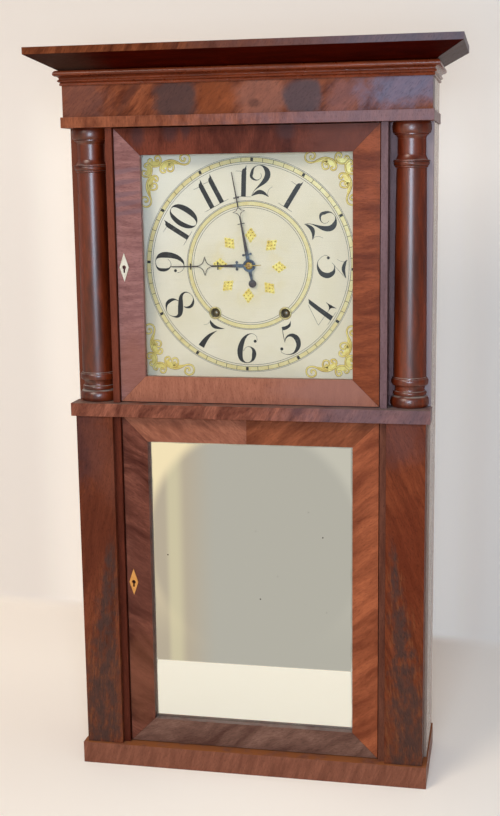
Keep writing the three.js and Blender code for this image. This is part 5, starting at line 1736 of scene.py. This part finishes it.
@dataclass
class Hands:
    """Blued hands, their collet and pin, in millimetres."""

    works: Clockwork
    centre_z: float = 635.5
    collet_y: float = -19.0
    pin_y: float = -22.1
    pin_lean: float = 3.0

    def build(self) -> None:
        """Dresses the hands."""
        self.works.ease(self._blued(), "minute_hand", "hour_hand", width=0.12)
        brass = Metal((0.6, 0.42, 0.14), (0.3, 0.17, 0.05), 0.3).material("centre_brass")
        steps = [
            (0.3, -2.6), (1.3, -2.6), (1.5, -2.9), (2.4, -3.1), (3.6, -2.8), (4.3, -2.3),
            (4.5, -1.8), (4.5, -1.4), (0.3, -1.4),
        ]
        nut = turned(steps, (0.0, self.collet_y, self.centre_z), (0, 1, 0), 40)
        made("hand_collet", nut, brass, "minute_arbor", "brass", 40)
        wire = [(0.2, -6.0), (0.62, -5.6), (0.45, 14.6), (0.15, 15.0)]
        lean = math.radians(self.pin_lean)
        line = (math.cos(lean), 0.0, math.sin(lean))
        pin = turned(wire, (0.0, self.pin_y, self.centre_z), line, 16)
        made("hand_pin", pin, brass, "minute_arbor", "brass", 40)

    def _blued(self) -> Material:
        """Steel that is blue at the centre, where a painted bluish highlight makes it lighter, and
        brown towards the tips.
        """
        paint = Paint("blued_steel")
        x, _, z = paint.xyz()
        cloud = paint.noise(130.0, 4.0, 0.6)
        rise = z - self.centre_z * MM
        out = (x * x + rise * rise) ** 0.5 + (cloud - 0.5) * 0.02
        # Painted highlight: the light blue near the centre also stands in for the bluish highlight
        # there.
        blue = paint.mix(cloud.ease(0.4, 0.65), (0.17, 0.21, 0.27), (0.075, 0.085, 0.11))
        brown = paint.mix(cloud.ease(0.45, 0.6), (0.12, 0.095, 0.095), (0.085, 0.07, 0.072))
        return paint.surface(
            Base_Color=paint.mix(out.ease(0.009, 0.022), blue, brown),
            Metallic=0.7,
            Roughness=cloud * 0.3 + 0.2,
            Normal=paint.relief(cloud, 0.00008),
        )


# The works


@dataclass
class Movement:
    """Wooden plates, wheels and arbors, with the verge, pendulum, hammer and bell."""

    works: Clockwork

    def build(self) -> None:
        """Dresses the movement; only the plates have eased edges."""
        oak = BareWood((0.42, 0.28, 0.13), (0.26, 0.16, 0.07), 90.0, 60.0, 0.6, 0.1)
        self.works.ease(oak.material("plate_oak"), "front_plate", "back_plate")
        cherry = BareWood((0.36, 0.17, 0.07), (0.24, 0.1, 0.04), 25.0, 70.0, 0.5, 0.05)
        maple = BareWood((0.5, 0.33, 0.15), (0.36, 0.22, 0.09), 0.0, 70.0, 0.5, 0.05)
        brass = Metal((0.6, 0.42, 0.15), (0.3, 0.18, 0.06), 0.3)
        bronze = Metal((0.5, 0.36, 0.16), (0.22, 0.14, 0.06))
        steel = Metal((0.32, 0.31, 0.3), (0.12, 0.09, 0.07))
        wheels = (
            "time_great_wheel", "time_third_wheel", "motion_wheel", "hour_wheel",
            "strike_great_wheel", "strike_pin_wheel", "strike_third_wheel", "strike_fly",
            "minute_arbor",
        )
        drums = ("time_drum", "strike_drum", "time_pulley", "strike_pulley")
        for finish, title, nodes in (
            (cherry, "wheel_cherry", wheels),
            (maple, "drum_maple", drums),
            (brass, "works_brass", ("escape_wheel", "count_wheel", "pendulum_bob")),
            (bronze, "bell_metal", ("bell",)),
            (steel, "works_steel", ("verge", "pendulum_rod", "hammer")),
        ):
            self.works.ease(finish.material(title), *nodes, width=0)


@dataclass
class Weights:
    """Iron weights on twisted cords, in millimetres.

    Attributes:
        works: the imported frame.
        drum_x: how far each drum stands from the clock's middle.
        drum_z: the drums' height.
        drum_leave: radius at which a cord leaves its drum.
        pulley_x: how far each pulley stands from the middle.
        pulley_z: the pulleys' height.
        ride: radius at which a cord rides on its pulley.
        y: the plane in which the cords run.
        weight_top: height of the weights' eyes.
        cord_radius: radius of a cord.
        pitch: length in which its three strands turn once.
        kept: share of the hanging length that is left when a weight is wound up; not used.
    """

    works: Clockwork
    drum_x: float = 43.0
    drum_z: float = 578.5
    drum_leave: float = 14.7
    pulley_x: float = 168.4
    pulley_z: float = 868.0
    ride: float = 17.6
    y: float = 52.0
    weight_top: float = 226.8
    cord_radius: float = 0.85
    pitch: float = 7.0
    kept: float = 0.298

    def build(self) -> None:
        """Dresses the weights and makes the cords."""
        iron = Metal((0.1, 0.095, 0.09), (0.06, 0.035, 0.025), 0.6, 0.9, 50.0)
        self.works.ease(iron.material("weight_iron"), "time_weight", "strike_weight", width=0.3)
        cotton = self._cotton()
        for name, sign in (("time", 1), ("strike", -1)):
            paths = {"drum": self._over(sign), "weight": self._down(sign)}
            for end, path in paths.items():
                piece = made(f"{name}_cord_to_{end}", self._cord(path), cotton, "case", "cord", 60)
                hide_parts(f"{name}_cord")
            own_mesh(piece)

    def _over(self, sign: int) -> np.ndarray:
        """From the drum along the common outer tangent and over the pulley.

        Args:
            sign: 1 for the going train's cord and -1 for the strike's.

        Returns:
            Rows of x and z.
        """
        aside, rise = self.pulley_x - self.drum_x, self.pulley_z - self.drum_z
        length = math.hypot(aside, rise)
        turn = math.atan2(rise, aside) - math.acos((self.drum_leave + self.ride) / length)
        leave = self.drum_leave * np.array([math.cos(turn), math.sin(turn)])
        start = np.array([self.drum_x, self.drum_z]) + leave
        angle = np.linspace(turn + math.pi, 0, 60)
        arc = np.stack([np.cos(angle), np.sin(angle)], -1) * self.ride
        arc += np.array([self.pulley_x, self.pulley_z])
        share = np.linspace(0, 1, 260, endpoint=False)[:, None]
        return np.vstack([start + (arc[0] - start) * share, arc]) * np.array([sign, 1.0])

    def _down(self, sign: int) -> np.ndarray:
        """Straight down from the pulley to the weight's eye, as (x, z)."""
        z = np.linspace(self.pulley_z, self.weight_top, 560)
        return np.stack([np.full_like(z, sign * (self.pulley_x + self.ride)), z], -1)

    def _cord(self, path: np.ndarray) -> Shape:
        """Three strands twisted round a path in the plane of y.

        Point (i, j) is path_i + r (cos a_j * n_i + sin a_j * e), where n_i is square to the
        path in its plane, e is the y axis, and r is the cord's radius times
        1 + 0.13 cos(3 a_j - 6 pi s_i / pitch) with s_i the length so far.

        Args:
            path: rows of x and z.

        Returns:
            The cord's skin.
        """
        ahead = np.gradient(path, axis=0)
        step = np.linalg.norm(ahead, axis=1, keepdims=True)
        ahead /= step
        so_far = np.cumsum(step[:, 0])
        angle = np.linspace(0, 2 * math.pi, 15, endpoint=False)
        twist = np.cos(3 * angle - 6 * math.pi * so_far[:, None] / self.pitch)
        radius = self.cord_radius * (1 + 0.13 * twist)
        flat = radius * np.cos(angle)
        x = path[:, 0, None] - ahead[:, 1, None] * flat
        z = path[:, 1, None] + ahead[:, 0, None] * flat
        y = self.y + radius * np.sin(angle)
        return skin(np.stack([x, y, z], -1) * MM)

    def _cotton(self) -> Material:
        """Twisted cotton: soiled cream with fine cross lines."""
        paint = Paint("cord_cotton")
        fluff = paint.noise(900.0)
        soil = paint.noise(25.0, 3.0).ease(0.35, 0.7)
        return paint.surface(
            Base_Color=paint.mix(soil, (0.52, 0.44, 0.28), (0.32, 0.25, 0.15)),
            Roughness=fluff * 0.2 + 0.75,
            Normal=paint.relief(fluff, 0.0002),
        )


def main() -> None:
    """Builds the clock, piece by piece."""
    logging.basicConfig(level=logging.INFO, format="%(name)s: %(message)s")
    works = Clockwork(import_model())
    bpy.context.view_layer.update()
    bpy.context.scene.view_settings.view_transform = "Standard"
    pieces = (
        Viewpoint(), Room(), Case(works), HalfColumns(works), Doors(works), Dial(works),
        Hands(works), Movement(works), Weights(works),
    )
    for piece in pieces:
        piece.build()
        LOG.info("built %s", type(piece).__name__)


if __name__ == "__main__":
    main()
